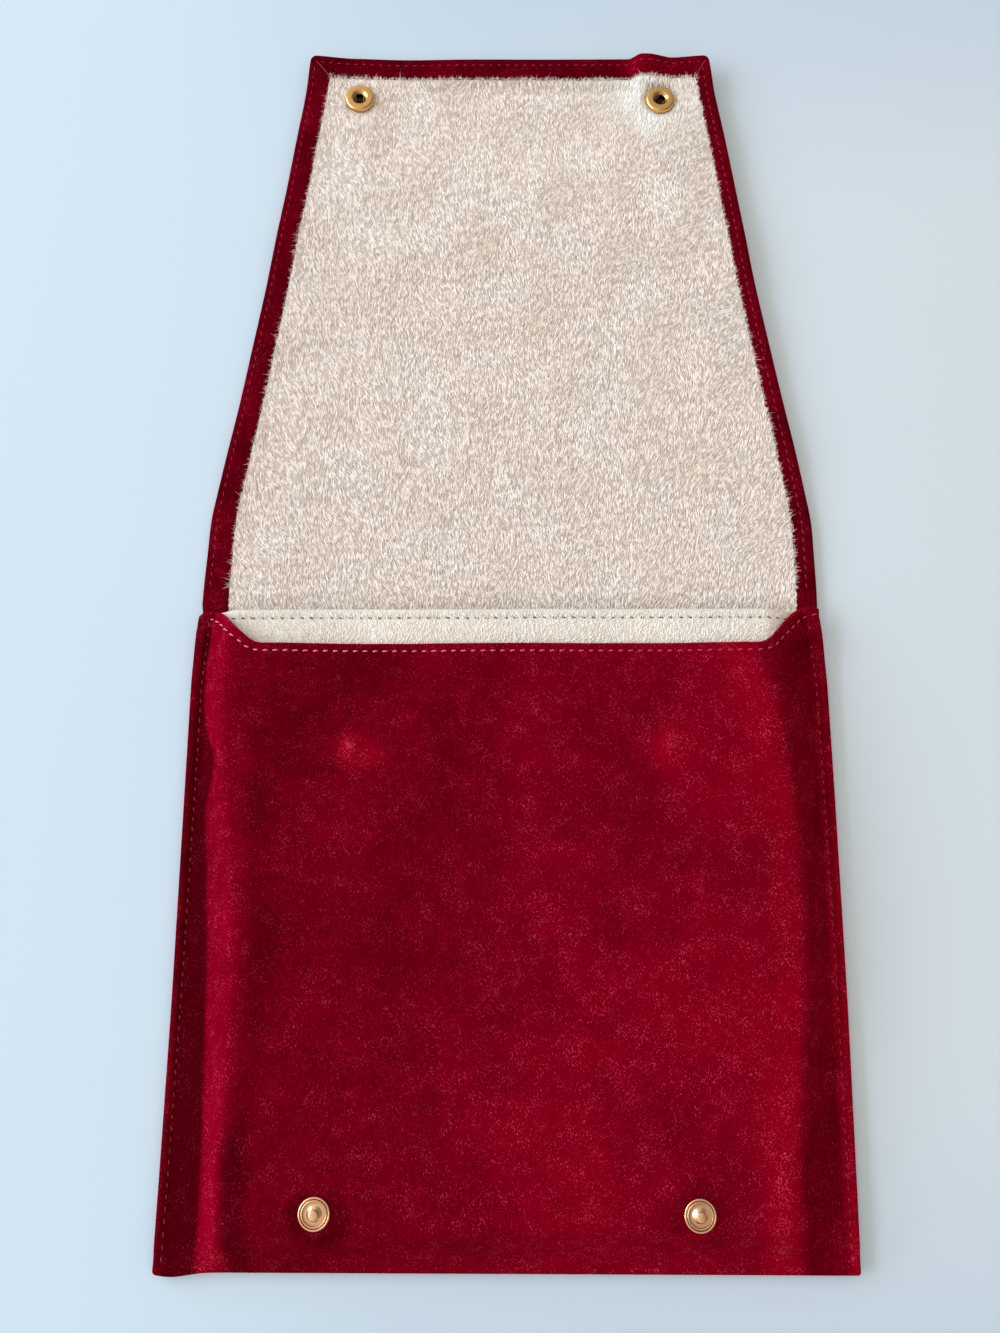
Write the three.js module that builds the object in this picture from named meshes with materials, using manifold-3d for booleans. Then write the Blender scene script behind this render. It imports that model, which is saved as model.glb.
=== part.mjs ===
// A soft jewelry pouch: a suede envelope with a plush lining, a pocket panel inside, and a long tapered
// flap that folds over the front and closes on two small press studs.
// It lies open on its back with the flap laid out flat, as when it is being filled.
// Millimetres, +Z up, +X to the right, +Y along the flap. While it is being built, y = 0 is the crease
// where the flap leaves the back panel; the finished pouch stands on the centre of its own outline.
import * as THREE from "three";
import { mergeVertices } from "three/addons/utils/BufferGeometryUtils.js";
import Module from "manifold-3d";

const wasm = await Module();
wasm.setup();

// The cloths
const suede = 0.7;
const plush = 0.6; // lining, without its pile
const pocketCloth = 0.95; // the pocket panel is two plies sewn together
const clothGap = 0.1; // between two cloths that lie on each other
const seat = 0.05; // between a metal part and the cloth it is clenched on

// The pouch
const pouchWidth = 200; // across the side seams
const pouchDepth = 194; // from the bottom fold to the crease
const pocketSpace = 4.4; // clear height behind the pocket panel
const mainSpace = 4.4; // clear height in front of it
const seamSlack = 0.1;
const seamBand = 4; // the edges are turned in by this much at the side seams
const seamFlat = 5; // flat along a side seam, before the front starts to rise
const sideSlope = 15; // width of the rise
const bottomFlat = 2; // the same two widths at the bottom fold
const bottomSlope = 10;
const bottomLap = 0.5; // the sheet reaches this far into the turned fold
const crownFall = 66; // length over which the crown comes down to the studs
const studLevelReach = 10; // level cloth round a stud, towards the mouth

// The mouth
const mouthDrop = 11.8; // the front panel's mouth edge below the crease
const earDrop = 1.4; // the ears at its two corners stop this far below the crease
const earWidth = 6.3;
const earSlant = 10.9; // across, from an ear's top to the mouth edge
const earRound = 3;
const liningReveal = 1.2; // the front lining stops short of the mouth edge
const liningEase = 1.4; // the front lining's edge stays this many times its own depth clear of the pocket
const pocketDrop = 1.6; // the pocket panel's top edge below the crease

// The flap
const flapMargin = 1.5; // the flap's side stops this far inside the pouch's side
const flapStraight = 10.5; // from the flap's own crease, before it tapers
const flapEndHalfWidth = 72.8;
const flapCorner = 1.2;
const hemWidth = 6.2;
const mitreSlit = 0.3;
const creaseGap = 0.08; // between two cloths that meet in a crease
const hemCreaseSlack = 0.2; // between two hems when the crease is folded
const riseLength = 108; // the flap comes up off the table over this length, and rests on its caps
const riseReach = 21; // level cloth round a socket, towards the crease

// The closing snaps
const snapSpacing = 107.6;
const snapInset = 18.2; // from the flap's end to a socket's centre
const snapClearance = 0.1;
const capRadius = 5.3;
const capHeight = 1;
const rivetRadius = 1.2;
const clenchRadius = 1.8;
const clenchHeight = 0.12;
const socketRadius = 5.2;
const socketHeight = 2;
const socketFloor = 0.3;
const socketMouth = 2.6;
const socketWell = 2.9;
const grooveRadius = 3.9;
const grooveDepth = 0.57;
const socketLip = 0.48; // metal over the groove
const socketLipRound = 0.15;
const ringInset = 0.5; // the ring's crest lies this far inside the middle of its width
const wireRadius = 0.22;
const studRadius = 4.6;
const studRim = 0.55;
const studDish = 0.25;
const nubNeck = 1.3;
const nubHead = 1.55;
const nubHeadHeight = 0.4;
const nubHeadSlope = 0.12; // under the head
const nubHeadRound = 0.15; // over it
const pinRadius = 0.7;
const pinLength = 1.2; // of the rivet's pin inside the stud
const flangeRadius = 3.4;
const flangeHeight = 0.25;

// The two small snaps hidden in the pocket
const pocketSnapDrop = 42; // below the crease
const pocketSnapSpacing = 98;
const smallRadius = 3.7;
const smallCapHeight = 0.45;
const smallSocketHeight = 1.45;
const smallMouth = 1.7;
const smallStudRim = 0.4;
const smallNub = 1.15;
const smallNubHeight = 1.3;
const smallRivet = 0.6;
const smallFlange = 2.8;
const smallFlangeHeight = 0.2;
const smallPinLength = 0.7;

// Levels in the open pouch, from the table up
const liningTop = suede + clothGap + plush;
const hemUnderside = liningTop + clothGap;
const hemTop = hemUnderside + suede;
const flapRise = capHeight + seat;
const pocketBase = liningTop + clothGap; // where the pocket panel is caught in the seam
const seamHeight = pocketBase + pocketCloth + clothGap + suede + seamSlack;
const frontCloths = plush + clothGap + suede;
const crownLevel = pocketBase + pocketSpace + pocketCloth + mainSpace + frontCloths;

// Places that the closed pouch sets
const closedLining = crownLevel + (hemTop - liningTop) + snapClearance;
const foldWidth = closedLining - liningTop + flapRise; // between the flap's two creases
const studLevel = closedLining - socketHeight - snapClearance - studRim - 2 * seat;
const nubHeight = socketHeight + studRim - socketFloor - clenchHeight - seat;
const hemCreaseGap = hemTop - liningTop + hemCreaseSlack; // a hem stops this far from a crease
const flapEnd = pouchDepth + foldWidth; // level with the bottom fold when the flap is closed
const socketY = flapEnd - snapInset;
const studY = foldWidth - socketY;
const halfWidth = pouchWidth / 2;
const flapHalfWidth = halfWidth - flapMargin;
const bottom = -pouchDepth;

const inReach = 1; // how far a cutting body passes the body that it cuts
const tall = 40; // higher than anything here

const smooth = (t) => THREE.MathUtils.smoothstep(t, 0, 1);
const unsmooth = (share) => 0.5 - Math.sin(Math.asin(1 - 2 * share) / 3);
const lerp = THREE.MathUtils.lerp;

const suedeFinish = () => new THREE.MeshStandardMaterial({ color: 0x8a0018, roughness: 0.95, metalness: 0 });
const plushFinish = () => new THREE.MeshStandardMaterial({ color: 0xe9ddc9, roughness: 1, metalness: 0 });
const brassFinish = () => new THREE.MeshStandardMaterial({ color: 0xd0a052, roughness: 0.28, metalness: 1 });
const wireFinish = () => new THREE.MeshStandardMaterial({ color: 0xb9b3a6, roughness: 0.35, metalness: 1 });

function steps(a, b, count) {
  return Array.from({ length: count + 1 }, (_, i) => lerp(a, b, i / count));
}

// A closed geometry as a solid that can be cut and joined
function solid(geometry) {
  const bare = geometry.clone();
  bare.deleteAttribute("normal");
  bare.deleteAttribute("uv");
  const merged = mergeVertices(bare, 1e-4);
  const faces = [];
  for (let i = 0; i < merged.index.count; i += 3) {
    // A turned part's faces collapse to lines where they meet its axis
    const face = [0, 1, 2].map((k) => merged.index.getX(i + k));
    if (new Set(face).size === 3) faces.push(...face);
  }
  return new wasm.Manifold(
    new wasm.Mesh({
      numProp: 3,
      vertProperties: new Float32Array(merged.attributes.position.array),
      triVerts: new Uint32Array(faces),
    }),
  );
}

function geometryOf(body) {
  const cut = body.getMesh();
  const geometry = new THREE.BufferGeometry();
  geometry.setAttribute("position", new THREE.BufferAttribute(new Float32Array(cut.vertProperties), 3));
  geometry.setIndex(new THREE.BufferAttribute(new Uint32Array(cut.triVerts), 1));
  return geometry;
}

// Cloth between two heights over a grid. Every cloth of the pouch stands on the same grid, so that
// those that lie on each other stay parallel, facet by facet.
function cloth(xs, ys, low, high) {
  const points = [];
  for (const height of [low, high]) {
    for (const y of ys) {
      points.push(...xs.map((x) => new THREE.Vector3(x, y, height(x, y))));
    }
  }
  const [columns, rows] = [xs.length, ys.length];
  const over = columns * rows;
  const index = [];
  for (let j = 0; j + 1 < rows; j++) {
    for (let i = 0; i + 1 < columns; i++) {
      const a = j * columns + i;
      const [b, c, d] = [a + 1, a + columns + 1, a + columns];
      index.push(a, c, b, a, d, c);
      index.push(a + over, b + over, c + over, a + over, c + over, d + over);
    }
  }
  const along = (count, at) => Array.from({ length: count - 1 }, (_, k) => at(k));
  const rim = [
    ...along(columns, (k) => k),
    ...along(rows, (k) => k * columns + columns - 1),
    ...along(columns, (k) => over - 1 - k),
    ...along(rows, (k) => (rows - 1 - k) * columns),
  ];
  rim.forEach((a, k) => {
    const b = rim[(k + 1) % rim.length];
    index.push(a, b, b + over, a, b + over, a + over);
  });
  return solid(new THREE.BufferGeometry().setFromPoints(points).setIndex(index));
}

function prism(shape, low, high) {
  const height = high - low;
  const options = { depth: height, bevelEnabled: false, curveSegments: 5 };
  return solid(new THREE.ExtrudeGeometry(shape, options).translate(0, 0, low));
}

function block(x0, x1, y0, y1, z0, z1) {
  const box = new THREE.BoxGeometry(x1 - x0, y1 - y0, z1 - z0);
  return solid(box.translate((x0 + x1) / 2, (y0 + y1) / 2, (z0 + z1) / 2));
}

// A straight run of one section, drawn in Y and Z, from x0 to x1
function rail(shape, x0, x1) {
  const options = { depth: x1 - x0, bevelEnabled: false, curveSegments: 8 };
  const geometry = new THREE.ExtrudeGeometry(shape, options);
  geometry.rotateX(Math.PI / 2).rotateZ(Math.PI / 2);
  return solid(geometry.translate(x0, 0, 0));
}

// A turned part standing on z = 0, from its half profile as [radius, height] pairs
function turned(profile, segments = 24) {
  const points = profile.map(([r, z]) => new THREE.Vector2(r, z));
  return solid(new THREE.LatheGeometry(points, segments).rotateX(Math.PI / 2));
}

// Round holes at one y that let a pin or disc of this radius through
function boresAt(xs, y, radius, low, high) {
  const wide = radius + snapClearance;
  return xs.map((x) => {
    const drill = new THREE.CylinderGeometry(wide, wide, high - low, 16).rotateX(Math.PI / 2);
    return solid(drill.translate(x, y, (low + high) / 2));
  });
}

const cutAll = (body, cutters) => cutters.reduce((rest, cutter) => rest.subtract(cutter), body);

// How full the pouch is at a point: 0 at the seams, 1 over the level crown
function fullness(x, y) {
  const fromSide = smooth((halfWidth - Math.abs(x) - seamFlat) / sideSlope);
  const fromBottom = smooth((y - bottom - bottomFlat) / bottomSlope);
  return fromSide * fromBottom;
}

// The front panel's outer face
function frontTop(x, y) {
  const towardsStuds = smooth((studY + studLevelReach + crownFall - y) / crownFall);
  const crown = lerp(crownLevel, studLevel, towardsStuds);
  return lerp(seamHeight, crown, fullness(x, y));
}

// The pocket panel's face towards the back
const pocketUnder = (x, y) => pocketBase + pocketSpace * fullness(x, y);

// How far the open flap has come up off the table
function flapLift(y) {
  return flapRise * smooth((y - (socketY - riseReach - riseLength)) / riseLength);
}

const slopeX = steps(halfWidth - seamFlat - sideSlope, halfWidth - seamFlat, 6);
const gridX = [-halfWidth, ...slopeX.map((x) => -x).reverse(), ...slopeX, halfWidth];
const gridY = [
  bottom + bottomFlat - 2 * bottomLap,
  ...steps(bottom + bottomFlat, bottom + bottomFlat + bottomSlope, 5),
  ...steps(studY + studLevelReach, studY + studLevelReach + crownFall, 6),
  0,
];

const liftY = [0, ...steps(socketY - riseReach - riseLength, socketY - riseReach, 6), flapEnd + inReach];

// A layer of the pouch between two faces, the face under it at a fixed depth below the one on top
const layer = (top, thickness) => cloth(gridX, gridY, (x, y) => top(x, y) - thickness, top);

// The same for the flap and its fold, whose height changes along y only
function flapLayer(low, high) {
  const reach = [-halfWidth, halfWidth];
  return cloth(reach, liftY, (_, y) => flapLift(y) + low, (_, y) => flapLift(y) + high);
}

// Half round at the two side seams, open upwards inside them
function roundedEdge() {
  const r = seamHeight / 2;
  const shape = new THREE.Shape();
  shape.moveTo(-halfWidth + r, 0).lineTo(halfWidth - r, 0);
  shape.absarc(halfWidth - r, r, r, -Math.PI / 2, Math.PI / 2);
  shape.lineTo(halfWidth - r, tall).lineTo(-halfWidth + r, tall).lineTo(-halfWidth + r, 2 * r);
  shape.absarc(-halfWidth + r, r, r, Math.PI / 2, (3 * Math.PI) / 2);
  const options = { depth: pouchDepth + inReach, bevelEnabled: false, curveSegments: 6 };
  return solid(new THREE.ExtrudeGeometry(shape, options).rotateX(Math.PI / 2));
}

// The front panel's outline, with its dropped mouth edge between two ears
function frontOutline(inset) {
  const side = halfWidth;
  const ear = -earDrop;
  const mouth = -mouthDrop - inset;
  const slantTop = side - earWidth;
  const slantEnd = slantTop - earSlant;
  const shape = new THREE.Shape();
  shape.moveTo(-side, bottom - inReach).lineTo(side, bottom - inReach);
  shape.lineTo(side, ear - earRound).quadraticCurveTo(side, ear, side - earRound, ear);
  shape.lineTo(slantTop, ear).lineTo(slantEnd, mouth);
  shape.lineTo(-slantEnd, mouth).lineTo(-slantTop, ear);
  shape.lineTo(-side + earRound, ear).quadraticCurveTo(-side, ear, -side, ear - earRound);
  return shape;
}

function rectangle(x, y0, y1) {
  return new THREE.Shape([
    new THREE.Vector2(-x, y0),
    new THREE.Vector2(x, y0),
    new THREE.Vector2(x, y1),
    new THREE.Vector2(-x, y1),
  ]);
}

const closingX = [-snapSpacing / 2, snapSpacing / 2];
const pocketX = [-pocketSnapSpacing / 2, pocketSnapSpacing / 2];
const frontAtStud = frontTop(snapSpacing / 2, studY);
const pocketAtSnap = pocketUnder(pocketSnapSpacing / 2, -pocketSnapDrop);

function frontPanel() {
  const half = seamHeight / 2;
  const sheet = layer(frontTop, suede);
  const band = layer(frontTop, half - clothGap / 2).subtract(
    block(seamBand - halfWidth, halfWidth - seamBand, bottom - inReach, inReach, 0, tall),
  );
  // The suede turns under at the bottom fold
  const fold = new THREE.Shape();
  const straight = bottom + bottomFlat;
  const centre = bottom + half;
  fold.moveTo(straight, seamHeight).lineTo(centre, seamHeight);
  fold.absarc(centre, half, half, Math.PI / 2, (3 * Math.PI) / 2);
  fold.lineTo(centre, suede);
  fold.absarc(centre, half, half - suede, (3 * Math.PI) / 2, Math.PI / 2, true);
  fold.lineTo(straight, seamHeight - suede);
  const turnedUnder = rail(fold, -halfWidth, halfWidth);
  const above = prism(rectangle(pouchWidth, straight - bottomLap, tall), 0, tall);
  let panel = sheet.intersect(above).add(turnedUnder).add(band.intersect(above));
  panel = panel.intersect(roundedEdge()).intersect(prism(frontOutline(0), -inReach, tall));
  return cutAll(panel, boresAt(closingX, studY, pinRadius, 0, tall));
}

function backPanel() {
  const start = bottom + seamHeight / 2 + creaseGap;
  const plate = block(-halfWidth, halfWidth, start, -creaseGap / 2, 0, suede);
  const lip = bottom + bottomFlat;
  const band = block(-halfWidth, halfWidth, lip, -earDrop, 0, (seamHeight - clothGap) / 2).subtract(
    block(seamBand - halfWidth, halfWidth - seamBand, lip - inReach, inReach, 0, tall),
  );
  return plate.add(band).intersect(roundedEdge());
}

// The linings and the pocket panel end just inside the turned edges of the suede
const liningSide = halfWidth - seamBand - clothGap;
const liningStart = bottom + seamBand;

// The front lining needs room over the pocket panel, so it starts a little way up the slope
const liningShare = (liningEase * (plush + clothGap)) / (studLevel - seamHeight - pocketSpace);
const liningClimb = unsmooth(Math.sqrt(liningShare));

function frontLining() {
  const side = halfWidth - seamFlat - sideSlope * liningClimb;
  const start = bottom + bottomFlat + bottomSlope * liningClimb;
  const top = (x, y) => frontTop(x, y) - suede - clothGap;
  let lining = layer(top, plush).intersect(prism(frontOutline(liningReveal), -inReach, tall));
  lining = lining.intersect(prism(rectangle(side, start, tall), -inReach, tall));
  // The plush gives way over the rivets' discs
  const give = frontAtStud - suede - flangeHeight - 2 * seat;
  return cutAll(lining, boresAt(closingX, studY, flangeRadius, give, tall));
}

function backLining() {
  const sheet = block(-liningSide, liningSide, liningStart, -creaseGap / 2, suede + clothGap, liningTop);
  const give = suede + smallFlangeHeight + 2 * seat;
  const discs = boresAt(pocketX, -pocketSnapDrop, smallFlange, 0, give);
  return cutAll(sheet, [...discs, ...boresAt(pocketX, -pocketSnapDrop, smallRivet, 0, tall)]);
}

function pocketPanel() {
  const top = (x, y) => pocketUnder(x, y) + pocketCloth;
  const outline = rectangle(liningSide, liningStart, -pocketDrop);
  const panel = layer(top, pocketCloth).intersect(prism(outline, -inReach, tall));
  return cutAll(panel, boresAt(pocketX, -pocketSnapDrop, smallRivet, 0, tall));
}

// Half width of the flap: straight at first, then tapering to its end
function flapHalf(y) {
  const bend = foldWidth + flapStraight;
  const along = Math.max(0, (y - bend) / (flapEnd - bend));
  return lerp(flapHalfWidth, flapEndHalfWidth, along);
}

// The flap's outline between two places along it, drawn in by an inset, its end corners rounded
function flapOutline(inset, from, to, corner = 0) {
  const bend = foldWidth + flapStraight;
  const middle = from < bend && bend < to ? [bend] : [];
  const edge = [from, ...middle, to - corner];
  const half = (y) => flapHalf(y) - inset;
  const shape = new THREE.Shape();
  shape.moveTo(half(from), from);
  for (const y of edge.slice(1)) {
    shape.lineTo(half(y), y);
  }
  if (corner > 0) {
    shape.quadraticCurveTo(half(to), to, half(to) - corner, to);
  }
  shape.lineTo(corner - half(to), to);
  if (corner > 0) {
    shape.quadraticCurveTo(-half(to), to, -half(to - corner), to - corner);
  }
  for (const y of edge.slice(0, -1).reverse()) {
    shape.lineTo(-half(y), y);
  }
  return shape;
}

// Suede whose edges turn over the lining, between two places along the flap
function hemmedSuede(from, to, isEnd) {
  const cutTo = (inset) => (isEnd ? to - inset : to + inReach);
  const within = (inset) => prism(flapOutline(inset, from - inReach, cutTo(inset)), -inReach, tall);
  const whole = prism(flapOutline(0, from, to, isEnd ? flapCorner : 0), -inReach, tall);
  const strips = [from, ...(isEnd ? [] : [to])].map((y) => {
    return block(-pouchWidth, pouchWidth, y - hemCreaseGap, y + hemCreaseGap, liningTop, tall);
  });
  let cut = flapLayer(0, hemTop).intersect(whole);
  cut = cut.subtract(flapLayer(suede, hemUnderside).intersect(within(suede)));
  cut = cut.subtract(flapLayer(suede, tall).intersect(within(hemWidth)));
  return strips.reduce((piece, strip) => piece.subtract(strip), cut);
}

function hemmedLining(from, to, isEnd) {
  const inset = suede + clothGap;
  const outline = flapOutline(inset, from, isEnd ? to - inset : to);
  return flapLayer(suede + clothGap, liningTop).intersect(prism(outline, -inReach, tall));
}

// The hem's mitre at one of the flap's end corners
function mitre(side) {
  const inner = new THREE.Vector2(flapHalf(flapEnd - hemWidth) - hemWidth, flapEnd - hemWidth);
  const outer = new THREE.Vector2(flapHalf(flapEnd) - suede, flapEnd - suede);
  const middle = inner.clone().add(outer).multiplyScalar(0.5);
  const line = outer.clone().sub(inner);
  const low = flapRise + hemUnderside - clothGap / 2;
  const slit = new THREE.BoxGeometry(line.length(), mitreSlit, tall - low);
  slit.rotateZ(side * line.angle()).translate(side * middle.x, middle.y, (low + tall) / 2);
  return solid(slit);
}

// A domed cap standing on its face, with the shank that is clenched beyond the cloth
function cap(radius, height, grip, shank, clench) {
  const top = height + grip;
  return turned([
    [0, 0],
    [0.74 * radius, 0],
    [0.93 * radius, 0.25 * height],
    [radius, 0.6 * height],
    [radius, height],
    [shank, height],
    [shank, top],
    [clench, top],
    [clench, top + 0.5 * clenchHeight],
    [0.85 * clench, top + clenchHeight],
    [0, top + clenchHeight],
  ]);
}

// A socket standing on its floor: a rolled ring round a well, with a groove for the spring
const socketLedge = socketHeight - socketLip - grooveDepth;
function socket() {
  const lip = socketHeight - socketLip;
  const crest = (socketMouth + socketRadius) / 2 - ringInset;
  return turned([
    [rivetRadius + snapClearance, 0],
    [0.9 * socketRadius, 0],
    [socketRadius, 0.25 * socketHeight],
    [socketRadius, 0.6 * socketHeight],
    [0.95 * socketRadius, 0.85 * socketHeight],
    [0.84 * socketRadius, socketHeight],
    [crest, socketHeight],
    [socketMouth + socketLipRound, socketHeight - socketLipRound],
    [socketMouth, lip],
    [grooveRadius, lip],
    [grooveRadius, socketLedge],
    [socketWell, socketLedge],
    [socketWell, socketFloor],
    [rivetRadius + snapClearance, socketFloor],
    [rivetRadius + snapClearance, 0],
  ]);
}

// The wire in a socket: two straight legs beside the stud's neck, joined by a bow in the groove
function spring() {
  const leg = nubHead + snapClearance + wireRadius;
  const bow = grooveRadius - snapClearance - wireRadius;
  const start = Math.acos(leg / bow);
  const foot = -Math.sqrt(bow ** 2 - leg ** 2);
  const arc = steps(Math.PI - start, start, 6).map((a) => [bow * Math.cos(a), bow * Math.sin(a)]);
  const straight = steps(foot, 0.8 * -foot, 3);
  const left = straight.map((y) => [-leg, y]);
  const right = [...straight].reverse().map((y) => [leg, y]);
  const points = [...left, ...arc, ...right].map(([x, y]) => new THREE.Vector3(x, y, 0));
  const path = new THREE.CatmullRomCurve3(points, false, "centripetal");
  const wire = new THREE.Shape();
  wire.absarc(0, 0, wireRadius, 0, 2 * Math.PI);
  return new THREE.ExtrudeGeometry(wire, { steps: 36, extrudePath: path, curveSegments: 3 });
}

// The blind hole under a stud that its rivet's pin goes into
function pinBore(pin, depth) {
  const radius = pin + snapClearance;
  return [[0, depth], [radius, depth], [radius, 0]];
}

// A stud with a rolled rim, a dished face and a waisted nub
function stud() {
  const neckTop = nubHeight - nubHeadHeight;
  return turned([
    ...pinBore(pinRadius, pinLength + snapClearance),
    [0.88 * studRadius, 0],
    [0.97 * studRadius, 0.25 * studRim],
    [studRadius, 0.55 * studRim],
    [0.97 * studRadius, 0.85 * studRim],
    [0.92 * studRadius, studRim],
    [0.87 * studRadius, 0.8 * studRim],
    [0.85 * studRadius, 0.55 * studRim],
    [0.82 * studRadius, 0.75 * studRim],
    [0.76 * studRadius, 0.75 * studRim],
    [0.63 * studRadius, studDish],
    [nubNeck, studDish],
    [nubNeck, neckTop],
    [nubHead, neckTop + nubHeadSlope],
    [nubHead, nubHeight - nubHeadRound],
    [0.75 * nubHead, nubHeight],
    [0, nubHeight],
  ]);
}

// The disc and pin that hold a stud from the other side of the cloth, standing on the disc
function rivet(disc, discHeight, pin, reach) {
  return turned([
    [0, 0],
    [0.9 * disc, 0],
    [disc, 0.4 * discHeight],
    [disc, discHeight],
    [pin, discHeight],
    [pin, discHeight + reach],
    [0, discHeight + reach],
  ], 16);
}

function smallSocket() {
  const well = 1.35 * smallMouth;
  return turned([
    [smallRivet + snapClearance, 0],
    [0.9 * smallRadius, 0],
    [smallRadius, 0.3 * smallSocketHeight],
    [smallRadius, 0.6 * smallSocketHeight],
    [0.9 * smallRadius, 0.9 * smallSocketHeight],
    [0.75 * smallRadius, smallSocketHeight],
    [1.1 * smallMouth, smallSocketHeight],
    [smallMouth, 0.85 * smallSocketHeight],
    [well, 0.75 * smallSocketHeight],
    [well, socketFloor],
    [smallRivet + snapClearance, socketFloor],
    [smallRivet + snapClearance, 0],
  ], 16);
}

function smallStud() {
  return turned([
    ...pinBore(smallRivet, smallPinLength + snapClearance),
    [0.95 * smallRadius, 0],
    [smallRadius, 0.5 * smallStudRim],
    [0.93 * smallRadius, smallStudRim],
    [0.85 * smallRadius, 0.6 * smallStudRim],
    [0.9 * smallNub, 0.6 * smallStudRim],
    [0.9 * smallNub, 0.7 * smallNubHeight],
    [smallNub, 0.8 * smallNubHeight],
    [0.8 * smallNub, smallNubHeight],
    [0, smallNubHeight],
  ], 16);
}

const pouch = new THREE.Group();
// The outline's centre goes to the origin
pouch.position.set(0, (pouchDepth - flapEnd) / 2, 0);

function add(name, body, finish, position = [0, 0, 0], rotation = [0, 0, 0]) {
  const geometry = body.isBufferGeometry ? body : geometryOf(body);
  const mesh = new THREE.Mesh(geometry, finish());
  mesh.name = name;
  mesh.position.set(...position);
  mesh.rotation.set(...rotation);
  pouch.add(mesh);
}

add("back_panel", backPanel(), suedeFinish);
add("front_panel", frontPanel(), suedeFinish);
add("back_lining", backLining(), plushFinish);
add("front_lining", frontLining(), plushFinish);
add("pocket_panel", pocketPanel(), plushFinish);

const foldFrom = creaseGap / 2;
const foldTo = foldWidth - creaseGap / 2;
const flapFrom = foldWidth + creaseGap / 2;
add("fold_panel", hemmedSuede(foldFrom, foldTo, false), suedeFinish);
add("fold_lining", hemmedLining(foldFrom, foldTo, false), plushFinish);
const shankHoles = boresAt(closingX, socketY, rivetRadius, 0, tall);
const flapSuede = hemmedSuede(flapFrom, flapEnd, true);
add("flap_panel", cutAll(flapSuede, [...shankHoles, mitre(-1), mitre(1)]), suedeFinish);
add("flap_lining", cutAll(hemmedLining(flapFrom, flapEnd, true), shankHoles), plushFinish);

const sides = ["left", "right"];
const springTurns = [0, -40]; // each spring sits in its groove as it was pressed in
const socketBase = flapRise + liningTop + seat;
sides.forEach((side, k) => {
  const x = closingX[k];
  const turn = THREE.MathUtils.degToRad(springTurns[k]);
  const grip = liningTop + 3 * seat + socketFloor;
  const closingCap = cap(capRadius, capHeight, grip, rivetRadius, clenchRadius);
  add(`${side}_snap_cap`, closingCap, brassFinish, [x, socketY, 0]);
  add(`${side}_snap_socket`, socket(), brassFinish, [x, socketY, socketBase]);
  const wireLevel = socketBase + socketLedge + seat + wireRadius;
  add(`${side}_snap_spring`, spring(), wireFinish, [x, socketY, wireLevel], [0, 0, turn]);
  add(`${side}_stud`, stud(), brassFinish, [x, studY, frontAtStud + seat]);
  const disc = rivet(flangeRadius, flangeHeight, pinRadius, suede + 2 * seat + pinLength);
  add(`${side}_stud_rivet`, disc, brassFinish, [x, studY, frontAtStud - suede - seat - flangeHeight]);
});

// The small snaps inside stand open, each socket in the pocket panel over its stud in the back
sides.forEach((side, k) => {
  const [x, y] = [pocketX[k], -pocketSnapDrop];
  const grip = pocketCloth + 3 * seat + socketFloor;
  const over = [Math.PI, 0, 0];
  const capTop = pocketAtSnap + pocketCloth + seat + smallCapHeight;
  const smallCap = cap(smallRadius, smallCapHeight, grip, smallRivet, 2 * smallRivet);
  add(`${side}_pocket_cap`, smallCap, brassFinish, [x, y, capTop], over);
  add(`${side}_pocket_socket`, smallSocket(), brassFinish, [x, y, pocketAtSnap - seat], over);
  add(`${side}_pocket_stud`, smallStud(), brassFinish, [x, y, liningTop + seat]);
  const reach = liningTop - suede + smallPinLength - smallFlangeHeight;
  const disc = rivet(smallFlange, smallFlangeHeight, smallRivet, reach);
  add(`${side}_pocket_rivet`, disc, brassFinish, [x, y, suede + seat]);
});

export default pouch;
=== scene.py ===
# A soft jewelry pouch of red suede, lying open: its front with a dropped mouth between two ears, its
# pocket panel, its long tapered flap lined with short pile, and two press studs of yellow metal.
# Sizes are in millimetres in the frame's own axes, and meshes are made in metres.
import math

import bpy
import numpy as np
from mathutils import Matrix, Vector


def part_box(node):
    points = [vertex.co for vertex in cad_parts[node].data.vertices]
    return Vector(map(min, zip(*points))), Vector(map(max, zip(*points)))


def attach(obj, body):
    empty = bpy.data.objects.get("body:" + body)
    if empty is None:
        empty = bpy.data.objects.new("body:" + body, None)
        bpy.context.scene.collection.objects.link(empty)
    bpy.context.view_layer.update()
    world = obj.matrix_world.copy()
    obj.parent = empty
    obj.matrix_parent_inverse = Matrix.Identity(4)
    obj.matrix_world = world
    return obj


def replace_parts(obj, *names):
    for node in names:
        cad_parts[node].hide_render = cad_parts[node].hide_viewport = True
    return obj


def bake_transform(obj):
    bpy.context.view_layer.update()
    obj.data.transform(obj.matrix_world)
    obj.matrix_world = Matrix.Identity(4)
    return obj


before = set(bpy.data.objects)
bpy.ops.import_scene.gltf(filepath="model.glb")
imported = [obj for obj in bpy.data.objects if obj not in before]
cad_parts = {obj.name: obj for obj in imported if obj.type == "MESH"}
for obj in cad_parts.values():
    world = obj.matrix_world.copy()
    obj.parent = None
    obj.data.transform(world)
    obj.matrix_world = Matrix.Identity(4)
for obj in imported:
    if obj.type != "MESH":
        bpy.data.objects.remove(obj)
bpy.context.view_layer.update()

MM = 0.001


def node_box(name):
    """The lowest and highest corners of a solid, in millimetres."""
    return [np.array(corner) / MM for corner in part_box(name)]


def node_centre(name):
    low, high = node_box(name)
    return (low + high) / 2


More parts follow.
